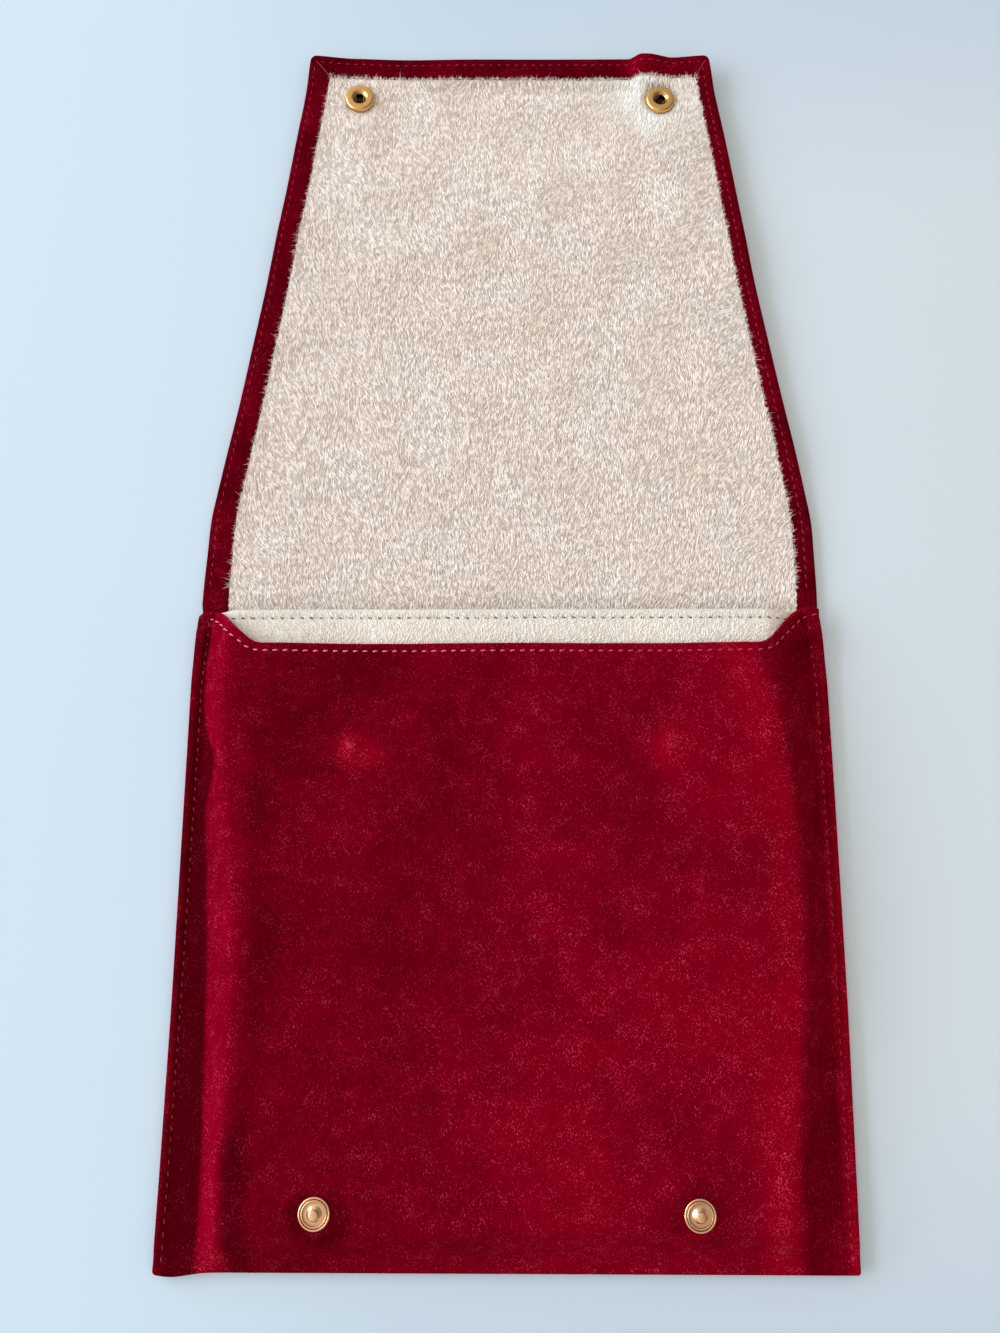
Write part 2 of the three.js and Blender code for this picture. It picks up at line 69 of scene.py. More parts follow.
# Places that the solids give
HALF = node_box("back_panel")[1][0]
BOTTOM = node_box("front_panel")[0][1]
END = node_box("flap_panel")[1][1] - 0.9
MOUTH_CREASE = node_box("back_panel")[1][1] - 0.04
CROWN = node_box("front_panel")[1][2]
FLAP_HALF = node_box("flap_panel")[1][0]
SOCKETS = [node_centre("left_snap_socket"), node_centre("right_snap_socket")]
STUDS = [node_centre("left_stud"), node_centre("right_stud")]
SOCKET_BASE = node_box("left_snap_socket")[0][2]
STUD_BASE = node_box("left_stud")[0][2]

# The cloths
SUEDE = 0.7
PLUSH = 0.6
SHEET_SHARE = 0.8  # a sheet is this much thinner than its cloth, to stay clear of the next one
LINING_TOP = 1.4  # height of the back's lining
LINING_RAISE = 0.32  # the flap's pile lifts its lining
LINING_GAP = 0.24  # between the front and its own lining
CAP_SEAT = SOCKET_BASE - 1.45  # height of the flap's cloth between a snap's two halves
SNAP_REACH = 7.4  # a snap holds the cloth flat up to this far from its axis
FLAP_LINING_INSET = 2.0  # the linings' edges, in from the suede's
BACK_LINING_INSET = 4.2
POCKET_INSET = 4.1
SEAM_TOP = 3.35  # height of the bottom fold
EDGE_ROLL = 0.82  # radius of a turned edge at the side seams
EAR_ROLL = 0.4  # and of the same edge up at the ears
MOUTH_ROLL = 0.72
HEM_ROLL = 1.1  # radius of the flap's turned hem
HEM_WIDTH = {"left": 8.5, "end": 8.7, "right": 6.5}

# The front's slopes
BOTTOM_FLAT = 2
BOTTOM_SLOPE = 13
CROWN_FALL = 66
STUD_REACH = 10
FOLD_REACH = 8.0  # the front's sheet turns in under itself this far from the bottom fold
MOUTH_SINK = 1.9  # how far the crown comes down to the mouth's edge
VALLEY = 2.5  # height of the cloth pressed down along the side seams
RIM = 0.95  # how far the turned edge stands over it
RIM_FLAT = 1.3  # the rim is level this far in, and falls from there to the stitches
MIDDLE_DIP = 0.9  # the crown's middle lies this much lower than its shoulders
STITCH_DENT = 0.3

# Along Y: how far in from the left and right edges the cloth starts to rise, and over what width
SLOPES_AS_LAID = np.array([
    (-200, 11.0, 9.0, 6.5, 13.0), (-171, 10.8, 9.0, 5.8, 14.0), (-107, 8.6, 13.0, 3.6, 11.0),
    (-60, 4.6, 11.0, 3.4, 13.0), (-36, 3.2, 9.5, 3.2, 15.5), (0, 3.2, 9.5, 3.2, 15.5),
])
SLOPES_EASE = 12  # a table's values are averaged this far to either side

# The mouth, from the middle outwards
MOUTH_EDGE = MOUTH_CREASE - 12.1
EAR_TOP = MOUTH_CREASE - 0.5
EAR_FOOT_X = 79.6
EAR_TOP_X = 92.3
EAR_ROUND = 2.6
EAR_LIFT = 1.4  # the ears lie over the flap's hems
MOUTH_TILT = 0.65  # the mouth lies this much higher at its right side, and lower at its left
EAR_TILT = 0.55
EAR_REACH = 13  # the ears differ from the seams below them from this far down
MOUTH_STITCH = 2.5
POCKET_EDGE = MOUTH_CREASE - 0.55
POCKET_TILT = 0.65
POCKET_HEM = 2.9

# The flap
FLAP_BEND = 23.7
FLAP_END_HALF = 72.8
CORNER_ROUND = 2.2
RISE_START = 53.4
RISE_LENGTH = 108
EDGE_LIFT = 1.1  # its right edge stands up to this far off the table
SAG_START = 140  # from here on it sags between the snaps
SAG = 1.6
RIPPLE = 2.3  # height of the ripple beside the right snap
CORNER_CURLS = (0.9, 0.8)

# Where the pocket's snaps show through the front
BUMPS = [(-48.0, -52.2), (48.8, -51.5)]

STITCH_PITCH = 3.07
STITCH_LENGTH = 1.85

# How far the two long edges lie beside their straight lines: at a place along Y, left and right
EDGES_AS_LAID = np.array([
    (-200, -0.5, 0.3), (-177, -0.25, 0.6), (-127, 0.0, 1.2), (-60, -0.35, 1.2), (-16, -0.6, 0.9),
    (-3, -0.7, 1.5), (16, 0.3, 1.2), (36, 0.8, 0.9), (58, 1.7, 0.0), (80, 1.9, -0.8),
    (113, 2.3, -1.7), (150, 2.0, -1.2), (185, 1.6, -1.4), (200, 0.7, -1.2),
])
EDGES_EASE = 6
CORNER_DROP = 1.2  # the bottom's left corner lies this much lower


def smooth(t):
    """A soft step from 0 to 1 as t goes from 0 to 1."""
    t = np.clip(t, 0, 1)
    return t * t * (3 - 2 * t)


def lerp(a, b, t):
    return a + (b - a) * t


def bell(value, centre, width):
    return np.exp(-(((value - centre) / width) ** 2))


def apart(x, y, place):
    return np.hypot(x - place[0], y - place[1])


def eased(table, y, column, reach):
    """A column of a table at y, averaged over a reach to either side so that it has no corners."""
    return sum(np.interp(y + shift, table[:, 0], table[:, column]) for shift in (-reach, 0, reach)) / 3


def as_laid(points):
    """Cloth points moved so that the long edges wander a little, as they do on the table."""
    x, y = points[:, 0], points[:, 1]
    left, right = [eased(EDGES_AS_LAID, y, column, EDGES_EASE) for column in (1, 2)]
    reach = (np.abs(x) / np.interp(y, (20, 210), (HALF, 70))) ** 4
    moved = points.copy()
    moved[:, 0] += np.where(x < 0, left, right) * np.minimum(reach, 1.05)
    moved[:, 1] -= CORNER_DROP * bell(x, -95, 6.5) * smooth((-180 - y) / 16)
    return moved


def waves(x, y, length, seed, count=7):
    """Gentle unevenness from a few sine waves of about one length, between about -1.5 and 1.5."""
    rng = np.random.default_rng(seed)
    total = 0
    for _ in range(count):
        angle, phase = rng.uniform(0, 2 * math.pi, 2)
        turn = 2 * math.pi / (length * rng.uniform(0.7, 1.4))
        total = total + np.sin((x * math.cos(angle) + y * math.sin(angle)) * turn + phase)
    return total / math.sqrt(count)


def spaced(*runs):
    """Positions along a line from (start, end, step) runs that follow on each other."""
    parts = []
    for start, end, step in runs:
        count = max(1, round(abs(end - start) / step))
        parts.append(np.linspace(start, end, count + 1)[:-1])
    return np.append(np.concatenate(parts), runs[-1][1])


def grid_faces(rows, columns):
    """Quads of a grid whose rows and columns run along +Y and +X, facing up."""
    a = np.arange((rows - 1) * columns).reshape(rows - 1, columns)[:, :-1].ravel()
    return np.stack([a, a + 1, a + columns + 1, a + columns], 1)


def vertex_normals(points, faces):
    corners = points[faces]
    across = np.cross(corners[:, 2] - corners[:, 0], corners[:, -1] - corners[:, 1])
    normals = np.zeros_like(points)
    for k in range(faces.shape[1]):
        np.add.at(normals, faces[:, k], across)
    return normals / np.maximum(np.linalg.norm(normals, axis=1, keepdims=True), 1e-9)


def thicken(points, faces, thickness):
    """A closed sheet from its outer face: the inner face lies a thickness behind it."""
    inner = points - vertex_normals(points, faces) * thickness
    count = len(points)
    edges = np.concatenate([faces[:, [k, (k + 1) % 4]] for k in range(4)])
    keys = edges[:, 0] * count + edges[:, 1]
    border = edges[~np.isin(keys, edges[:, 1] * count + edges[:, 0])]
    a, b = border.T
    rim = np.stack([b, a, a + count, b + count], 1)
    return np.concatenate([points, inner]), np.concatenate([faces, faces[:, ::-1] + count, rim])


def circle(sides):
    """Angles spread evenly round a circle."""
    return np.arange(sides) * 2 * math.pi / sides


def ring_faces(rows, sides):
    """Quads between rows of points that each go once round."""
    k = np.arange(sides)
    following = (k + 1) % sides
    return np.concatenate([
        np.stack([low + k, low + following, low + sides + following, low + sides + k], 1)
        for low in sides * np.arange(rows - 1)
    ])


def placed(name, data):
    """A new object in the scene."""
    made = bpy.data.objects.new(name, data)
    bpy.context.scene.collection.objects.link(made)
    return made


def make_piece(name, points, faces, material, sharp=50, flat=False):
    """A mesh object from points in millimetres and faces of one size."""
    mesh = bpy.data.meshes.new(name)
    count, size = faces.shape
    mesh.vertices.add(len(points))
    mesh.vertices.foreach_set("co", (np.asarray(points) * MM).astype(np.float32).ravel())
    mesh.loops.add(count * size)
    mesh.loops.foreach_set("vertex_index", faces.astype(np.int32).ravel())
    mesh.polygons.add(count)
    mesh.polygons.foreach_set("loop_start", np.arange(0, count * size, size, dtype=np.int32))
    mesh.polygons.foreach_set("use_smooth", np.full(count, not flat))
    mesh.update(calc_edges=True)
    mesh.validate()
    if not flat:
        mesh.set_sharp_from_angle(angle=math.radians(sharp))
    mesh.materials.append(material)
    return placed(name, mesh)


def brush(piece, tone_and_painted_light):
    """Each point's value for the materials: 1 is where suede and pile look lightest, mostly painted
    light, and where metal looks darkest, a painted shade.
    """
    points = np.empty(3 * len(piece.data.vertices), np.float32)
    piece.data.vertices.foreach_get("co", points)
    layer = piece.data.attributes.new("tone_and_painted_light", "FLOAT", "POINT")
    layer.data.foreach_set("value", tone_and_painted_light(*points.reshape(-1, 3).T / MM).astype(np.float32))


def finish_on(piece, body):
    """Puts a piece on the body that it moves with; on the two creases it stays unattached, with its place
    baked into its mesh.
    """
    if body == "mouth crease":
        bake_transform(piece)
    elif body == "flap crease":
        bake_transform(piece)
    else:
        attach(piece, body)
    return piece


def lay(name, shape, material, body, tone_and_painted_light=None, flat=False):
    """A piece of cloth, pile or thread as it lies, on its body, with the light and tone that brush()
    paints on it, if given.
    """
    points, faces = shape
    piece = finish_on(make_piece(name, as_laid(points), faces, material, flat=flat), body)
    if tone_and_painted_light is not None:
        brush(piece, tone_and_painted_light)
    return piece


# Materials

class Nodes:
    """A node tree, filled one node after another."""

    def __init__(self, tree):
        self.tree = tree

    def put(self, kind, sockets=None, **settings):
        made = self.tree.nodes.new("ShaderNode" + kind)
        for key, value in settings.items():
            setattr(made, key, value)
        for key, value in (sockets or {}).items():
            if isinstance(value, bpy.types.NodeSocket):
                self.tree.links.new(value, made.inputs[key])
            else:
                made.inputs[key].default_value = value
        return made


class Finish(Nodes):
    """A material and its nodes."""

    def __init__(self, name):
        self.material = bpy.data.materials.new(name)
        self.material.use_nodes = True
        super().__init__(self.material.node_tree)
        self.tree.nodes.clear()
        self.output = self.tree.nodes.new("ShaderNodeOutputMaterial")

    def place(self):
        return self.put("TexCoord").outputs["Object"]

    def scaled(self, vector, scale, turn=0.0):
        sockets = {"Vector": vector, "Scale": scale, "Rotation": (0, 0, turn)}
        return self.put("Mapping", sockets).outputs["Vector"]

    def noise(self, vector, length, detail, roughness, distortion=0.0):
        """Noise whose features are about one length across, in millimetres."""
        return self.put("TexNoise", {
            "Vector": vector, "Scale": 1 / (length * MM), "Detail": detail,
            "Roughness": roughness, "Distortion": distortion,
        }).outputs["Fac"]

    def span(self, value, low, high, to_low=0.0, to_high=1.0):
        return self.put("MapRange", {
            "Value": value, "From Min": low, "From Max": high, "To Min": to_low, "To Max": to_high,
        }, interpolation_type="SMOOTHSTEP").outputs["Result"]

    def math(self, operation, *values):
        return self.put("Math", dict(enumerate(values)), operation=operation).outputs[0]

    def plus(self, a, b):
        return self.math("ADD", a, b)

    def times(self, a, b):
        return self.math("MULTIPLY", a, b)

    def tone_and_painted_light(self):
        """The value that brush() gives each point, or 0 on a piece that it leaves alone."""
        return self.put("Attribute", attribute_name="tone_and_painted_light").outputs["Fac"]

    def along(self, axis):
        return self.put("SeparateXYZ", {0: self.place()}).outputs[axis]

    def mix(self, factor, a, b):
        """Two colours mixed: each is a socket, or its red, green and blue in 0 to 255."""
        a, b = [colour(*value) if isinstance(value, tuple) else value for value in (a, b)]
        return self.put("Mix", {0: factor, 6: a, 7: b}, data_type="RGBA").outputs[2]

    def bump(self, height, depth, strength):
        """Bumps of a depth in millimetres."""
        sockets = {"Height": height, "Strength": strength, "Distance": depth * MM}
        return self.put("Bump", sockets).outputs["Normal"]

    def shade(self, **sockets):
        made = self.put("BsdfPrincipled", {key.replace("_", " "): v for key, v in sockets.items()})
        self.tree.links.new(made.outputs[0], self.output.inputs["Surface"])
        return self.material


def colour(red, green, blue):
    """An sRGB colour given in 0 to 255, as the linear colour that sockets take."""
    parts = [v / 255 for v in (red, green, blue)]
    return (*[v / 12.92 if v <= 0.04045 else ((v + 0.055) / 1.055) ** 2.4 for v in parts], 1.0)


# The palest cream, which the pile takes where light is painted on it
PALEST = (255, 254, 250)


def suede_finish(name, dark, light):
    """Short red suede, darker or lighter by its values from brush(), which are mostly painted light and
    shade, with pale fibre tips and painted glints in drifts.
    """
    f = Finish(name)
    place = f.place()
    tone_and_painted_light = f.tone_and_painted_light()
    cloud, broad = f.noise(place, 15, 3, 0.6, 0.3), f.noise(place, 48, 1.5, 0.5)
    lean = f.plus(f.times(cloud, 0.5), f.times(broad, 0.5))
    tone_and_light = f.span(f.plus(tone_and_painted_light, f.span(lean, 0.3, 0.7, -0.19, 0.19)), -0.15, 1.1)
    tilted = f.scaled(place, (1, 0.5, 1), 0.5)
    tips = f.noise(tilted, 0.28, 1, 0.6, 0.3)
    fine = f.noise(tilted, 0.8, 2, 0.6, 0.3)
    grain = f.noise(place, 2.2, 3, 0.6, 0.3)
    # The bright tips, pale fibres and painted glints, gather in drifts and most in the painted
    # highlights; few show where it is darkest
    drift = f.span(f.noise(place, 5, 3, 0.6), 0.3, 0.7, -0.07, 0.05)
    in_highlights = f.span(tone_and_painted_light, 0.8, 1.5, 0.0, 0.12)
    few = f.span(tone_and_light, 0.1, 0.8, 0.4, 1.0)
    tips_and_glints = f.times(f.span(f.plus(f.plus(tips, drift), in_highlights), 0.62, 0.72), few)
    lying = f.span(tone_and_light, 0.0, 0.3, 0.25, 1.0)
    # Painted light and shade, with tone at random, set the red between dark and light
    base = f.mix(tone_and_light, dark, light)
    base = f.mix(f.span(grain, 0.3, 0.7, 0.0, 0.22), base, dark)
    base = f.mix(f.times(f.span(fine, 0.35, 0.7, 0.0, 0.3), lying), base, (150, 0, 30))
    # Pale fibre tips, which also stand in for tiny highlights: painted glints
    base = f.mix(f.times(tips_and_glints, 0.75), base, (226, 66, 98))
    height = f.plus(f.plus(f.times(fine, 0.5), f.times(grain, 0.6)), f.times(tips, 0.4))
    return f.shade(
        Base_Color=base, Roughness=1.0, Specular_IOR_Level=0.0, Sheen_Weight=0.25,
        Sheen_Roughness=0.4, Sheen_Tint=colour(160, 0, 30), Normal=f.bump(height, 0.22, 0.8),
    )


def plush_finish(name, length, depth, gap_shade, bright):
    """Short pile whose strands, of one length and depth, lean about one way and curl."""
    f = Finish(name)
    place = f.place()
    # The strands fan out a little from the middle, and swirl
    fan = f.times(f.times(f.along("X"), f.along("Y")), -3.2)
    bend = f.put("TexNoise", {"Vector": place, "Scale": 1 / (24 * MM), "Detail": 1.5}).outputs["Color"]
    turned = f.put("VectorMath", {0: bend, 1: (0.013, 0.008, 0.0)}, operation="MULTIPLY").outputs[0]
    fanned = f.put("CombineXYZ", {0: fan}).outputs[0]
    swirl = place
    for shift in (turned, fanned):
        swirl = f.put("VectorMath", {0: swirl, 1: shift}, operation="ADD").outputs[0]
    strands = f.noise(f.scaled(swirl, (1, 0.36, 1)), length, 2.5, 0.6, 0.6)
    crossing = f.noise(f.scaled(swirl, (1, 0.5, 1), 0.5), length * 0.8, 2, 0.6, 0.8)
    strands, crossing = f.span(strands, 0.36, 0.64), f.span(crossing, 0.34, 0.66)
    height = f.plus(f.times(strands, 0.6), f.times(crossing, 0.4))
    cloud = f.span(f.noise(place, 26, 2, 0.5), 0.3, 0.7)
    # Painted shade: the low places between the strands take the deeper colour
    base = f.mix(height, gap_shade, bright)
    base = f.mix(f.times(cloud, 0.16), base, (214, 194, 172))
    # Painted light: lighter towards the palest cream where brush() says so
    base = f.mix(f.tone_and_painted_light(), base, PALEST)
    return f.shade(
        Base_Color=base, Roughness=1.0, Specular_IOR_Level=0.0, Sheen_Weight=0.3,
        Sheen_Roughness=0.5, Sheen_Tint=colour(255, 246, 232), Normal=f.bump(height, depth, 0.9),
    )


def strand_finish(name, light, pale, low):
    """The loose strands of the pile, each a little lighter or darker than the next."""
    f = Finish(name)
    place = f.place()
    shade = f.span(f.noise(f.scaled(place, (1, 0.5, 1)), 0.9, 1, 0.5), 0.4, 0.6)
    cloud = f.span(f.noise(place, 22, 2, 0.5), 0.35, 0.65)
    base = f.mix(cloud, light, pale)
    base = f.mix(f.times(shade, 0.65), base, low)
    # Painted light: lighter towards the palest cream where brush() says so
    base = f.mix(f.tone_and_painted_light(), base, PALEST)
    return f.shade(
        Base_Color=base, Roughness=0.8, Specular_IOR_Level=0.15, Sheen_Weight=0.3,
        Sheen_Roughness=0.5, Sheen_Tint=colour(255, 248, 238),
    )


def thread_finish(name, light, dark, shaded_to_right=None):
    """Twisted thread, which may take painted shade that makes it dimmer to the right, away from the
    window.
    """
    f = Finish(name)
    twist = f.noise(f.scaled(f.place(), (1, 1, 1), 0.7), 0.3, 2, 0.5, 0.4)
    base = f.mix(f.span(twist, 0.35, 0.65), light, dark)
    if shaded_to_right is not None:
        # Painted shade, darker towards the right
        base = f.mix(f.span(f.along("X"), -0.06, 0.07, 0, 0.92), base, shaded_to_right)
    return f.shade(
        Base_Color=base, Roughness=0.7, Specular_IOR_Level=0.15, Normal=f.bump(twist, 0.06, 0.6),
    )


def brass_finish(name, tone, dull, roughness):
    """Plated metal with fine turning marks, and painted shade, dark brown, where the values from brush()
    say that it is hollow.
    """
    f = Finish(name)
    place = f.place()
    marks = f.noise(f.scaled(place, (1, 1, 6)), 0.5, 3, 0.6)
    patch = f.span(f.noise(place, 2.6, 2, 0.5), 0.35, 0.7)
    base = f.mix(f.times(patch, 0.4), tone, dull)
    # Painted shade in the hollows
    base = f.mix(f.tone_and_painted_light(), base, (58, 34, 16))
    mottle = f.plus(f.times(marks, 0.5), f.times(patch, 0.5))
    rough = f.span(mottle, 0.3, 0.7, roughness - 0.05, roughness + 0.08)
    return f.shade(
        Base_Color=base, Metallic=1.0, Roughness=rough, Normal=f.bump(marks, 0.008, 0.25),
    )


def floor_finish():
    """A matt pale table, a little bluer to the left and greyer to the right, with painted shade far in
    front and behind.
    """
    f = Finish("pale_table")
    x, y = f.along("X"), f.along("Y")
    cloud = f.noise(f.place(), 90, 2, 0.5)
    base = f.mix(f.span(x, -0.17, 0.17), (208, 227, 242), (213, 224, 234))
    # Painted shade: darker and bluer far in front of and behind the pouch, except at the far left
    far_shade = f.times(f.span(f.math("ABSOLUTE", y), 0.13, 0.26, 0, 0.7), f.span(x, -0.14, 0.0))
    base = f.mix(far_shade, base, (188, 208, 228))
    base = f.mix(f.times(cloud, 0.06), base, (220, 230, 238))
    return f.shade(Base_Color=base, Roughness=0.85, Specular_IOR_Level=0.2)


SUEDE_RED = suede_finish("red_suede", (74, 0, 10), (143, 0, 28))
PLUSH_CREAM = plush_finish("cream_pile", 0.62, 0.5, (204, 189, 174), (255, 251, 245))
POCKET_CREAM = plush_finish("cream_pocket_cloth", 0.5, 0.3, (243, 233, 220), (255, 254, 251))
STRAND_CREAM = strand_finish("cream_strands", (254, 243, 234), (255, 248, 243), (204, 186, 172))
STRAND_WHITE = strand_finish("white_strands", (255, 249, 238), (255, 254, 249), (230, 210, 186))
THREAD_PINK = thread_finish("pink_thread", (255, 156, 176), (236, 92, 120), (184, 46, 70))
THREAD_ROSE = thread_finish("rose_thread", (184, 54, 76), (142, 24, 42))
THREAD_RED = thread_finish("red_thread", (176, 50, 64), (130, 18, 32))
# The pocket's cream stitches, painted dark brown: painted shade in the dimples they lie in
THREAD_SHADED_CREAM = thread_finish("shaded_cream_thread", (124, 104, 88), (84, 66, 54))
BRASS = brass_finish("yellow_brass", (236, 186, 116), (218, 164, 95), 0.22)
ROSE_BRASS = brass_finish("rose_brass", (255, 204, 156), (242, 174, 122), 0.22)
WIRE = brass_finish("spring_steel", (168, 138, 104), (128, 104, 78), 0.35)


# Camera, lights and table

def make_camera():
    data = bpy.data.cameras.new("camera")
    data.sensor_width = 36
    data.lens = 27.0
    data.clip_start = 0.01
    camera = placed("camera", data)
    camera.location = (-0.0023, -0.0883, 0.3141)
    camera.rotation_euler = [math.radians(a) for a in (11.5, 0.02, 0.25)]
    bpy.context.scene.camera = camera


def make_window():
    """One broad, bluish window to the left."""
    data = bpy.data.lights.new("window", "AREA")
    data.shape = "RECTANGLE"
    data.size = 3.4
    data.size_y = 1.2
    data.energy = 76.0
    data.color = (0.72, 0.82, 1.0)
    lamp = placed("window", data)
    lamp.location = (-2.28, 0.3, 0.97)
    lamp.rotation_euler = (-lamp.location).to_track_quat("-Z", "Y").to_euler()


def make_world():
    """A plain sky, brighter overhead. Metal finds it brighter to the left, where the window is."""
    world = bpy.data.worlds.new("studio")
    bpy.context.scene.world = world
    world.use_nodes = True
    n = Nodes(world.node_tree)
    way = n.put("SeparateXYZ", {0: n.put("TexCoord").outputs["Generated"]})
    path = n.put("LightPath")

    def sky(axis, start, end, low, high, tint):
        level = n.put("MapRange", {
            "Value": way.outputs[axis], "From Min": start, "From Max": end, "To Min": low, "To Max": high,
        }).outputs["Result"]
        return n.put("Background", {"Color": tint, "Strength": level}).outputs[0]

    def instead(ray, first, second):
        return n.put("MixShader", {0: path.outputs[ray], 1: first, 2: second}).outputs[0]

    behind = sky("Z", 0, 1, 0.7, 1.0, (0.8, 0.87, 0.93, 1))
    shown = instead("Is Glossy Ray", sky("Z", 0, 1, 0.4, 0.9, (1.0, 0.95, 0.84, 1)),
                    sky("X", -1, 0.6, 1.35, 0.25, (1.0, 1.0, 1.0, 1)))
    shown = instead("Is Camera Ray", shown, behind)
    shown = instead("Is Transmission Ray", shown, behind)
    n.tree.links.new(shown, n.tree.nodes["World Output"].inputs["Surface"])


def make_floor():
    """The table, just under the pouch."""
    size = 1200
    drop = 0.2
    corners = [(-size, -size, -drop), (size, -size, -drop), (size, size, -drop), (-size, size, -drop)]
    floor = make_piece("table", corners, np.array([[0, 1, 2, 3]]), floor_finish(), flat=True)


make_camera()
make_world()
make_window()
make_floor()
bpy.context.scene.view_settings.view_transform = "Standard"


# The front

def body_half(y):
    """Half width of the pouch, drawn in a little towards its ears."""
    return HALF - 2.0 * np.clip((y + 32) / 24, 0, 1) ** 2


def mouth_line(x):
    """The mouth's edge: level between the ears, with soft corners and rounded ear tops."""
    reach = np.abs(x - 0.4)
    bends = [0, EAR_FOOT_X, EAR_TOP_X, HALF + 5]
    levels = [MOUTH_EDGE, MOUTH_EDGE, EAR_TOP, EAR_TOP]
    shifts = np.linspace(-2.3, 2.3, 9)
    soft = sum(np.interp(reach + shift, bends, levels) for shift in shifts) / len(shifts)
    over = np.clip(reach - (HALF - EAR_ROUND), 0, EAR_ROUND)
    tilt = MOUTH_TILT * x / HALF + EAR_TILT * np.sign(x) * smooth((reach - EAR_FOOT_X) / 8)
    return soft - EAR_ROUND + np.sqrt(EAR_ROUND**2 - over**2) + tilt + 0.6 * smooth((reach - 91) / 6)


def from_mouth(x, y):
    """Distance down from the mouth's edge, square to it."""
    fall = (mouth_line(x + 0.1) - mouth_line(x - 0.1)) / 0.2
    return (mouth_line(x) - y) / np.sqrt(1 + np.minimum(fall**2, 1.5))


def side_stitch_inset(y):
    """The stitches come in a little from the bottom up to the ears."""
    return lerp(2.2, 3.2, np.clip((y - BOTTOM) / 160, 0, 1)) + 0.7 * smooth((y + 34) / 26)


def slope(y, column):
    return eased(SLOPES_AS_LAID, y, column, SLOPES_EASE)


def side_rise(x, y):
    """From 0 along the side seams to 1 where the crown starts."""
    inset = body_half(y) - np.abs(x)
    start = np.where(x < 0, slope(y, 1), slope(y, 3))
    width = np.where(x < 0, slope(y, 2), slope(y, 4))
    return smooth((inset - start) / width)


def front_top(x, y):
    """The front's outer face over the table."""
    up = y - BOTTOM
    below = MOUTH_CREASE - y
    down = from_mouth(x, y)
    inset = body_half(y) - np.abs(x)
    line = side_stitch_inset(y)
    # The turned edge and the valley beside it, from the bottom fold up to the ears
    rim = smooth(1 - (inset - RIM_FLAT) / (line - RIM_FLAT))
    rim = lerp(rim, 1, smooth((EAR_REACH - below) / 9))
    seam = VALLEY + RIM * rim * smooth(up / 9) + EAR_LIFT * smooth((EAR_REACH + 5 - below) / 12)
    seam = lerp(SEAM_TOP, seam, smooth(up / 6))
    # The crown comes down to the studs, to its middle and to the mouth, and is a little uneven
    crown = lerp(CROWN, STUD_BASE, smooth((STUDS[0][1] + STUD_REACH + CROWN_FALL - y) / CROWN_FALL))
    full = side_rise(x, y) * smooth((up - BOTTOM_FLAT) / BOTTOM_SLOPE)
    free = smooth((up - 22) / 30)
    z = lerp(seam, crown, full)
    z = z - MIDDLE_DIP * smooth((inset - 21) / 30) * free
    z = z - MOUTH_SINK * smooth(1 - down / 34) * full
    z = z + 0.4 * waves(x, y, 62, 3) * full * smooth((inset - 8) / 20) * free
    z = z + 0.14 * waves(x, y, 19, 5) * full
    # The dents along the stitches, and the puffed edge beside the mouth's
    z = z - STITCH_DENT * bell(inset, line, 0.6)
    z = z + 0.08 * bell(down, 1.1, 0.8) - 0.34 * bell(down, MOUTH_STITCH, 0.55)
    for bump in BUMPS:
        z = z + 0.9 * smooth(1.3 - apart(x, y, bump) / 3.2)
    for stud in STUDS:
        radius = apart(x, y, stud)
        z = lerp(z, STUD_BASE - 0.05, smooth((11 - radius) / 6))
        z = z - 0.25 * bell(radius, 5.9, 1.2)
    return z


ROLL = np.linspace(0, math.pi, 9)
TURN_IN = np.array([1.2, 2.6, 4.0])

# One edge's columns beyond the level ones: how far out, how deep, and how far back in
ROLL_OUT = np.concatenate([np.sin(ROLL[1:]), np.zeros(len(TURN_IN))])
ROLL_DEEP = np.concatenate([1 - np.cos(ROLL[1:]), np.full(len(TURN_IN), 2.0)])
ROLL_BACK = np.concatenate([np.zeros(len(ROLL) - 1), TURN_IN])

LEVEL_HALF = 99.18  # half width of the body between its rolled edges
HALF_COLUMNS = spaced((0, 78, 1.3), (78, 94, 1.0), (94, LEVEL_HALF, 0.43)) / LEVEL_HALF
LEVEL = np.concatenate([-HALF_COLUMNS[:0:-1], HALF_COLUMNS])


def with_rolls(level, left, right):
    return np.concatenate([left[::-1], level, right])


SHARE = with_rolls(LEVEL, np.full(len(ROLL_OUT), -1.0), np.full(len(ROLL_OUT), 1.0))
OUT = with_rolls(LEVEL * 0, -ROLL_OUT, ROLL_OUT)
DEEP = with_rolls(LEVEL * 0, ROLL_DEEP, ROLL_DEEP)
BACK = with_rolls(LEVEL * 0, -ROLL_BACK, ROLL_BACK)


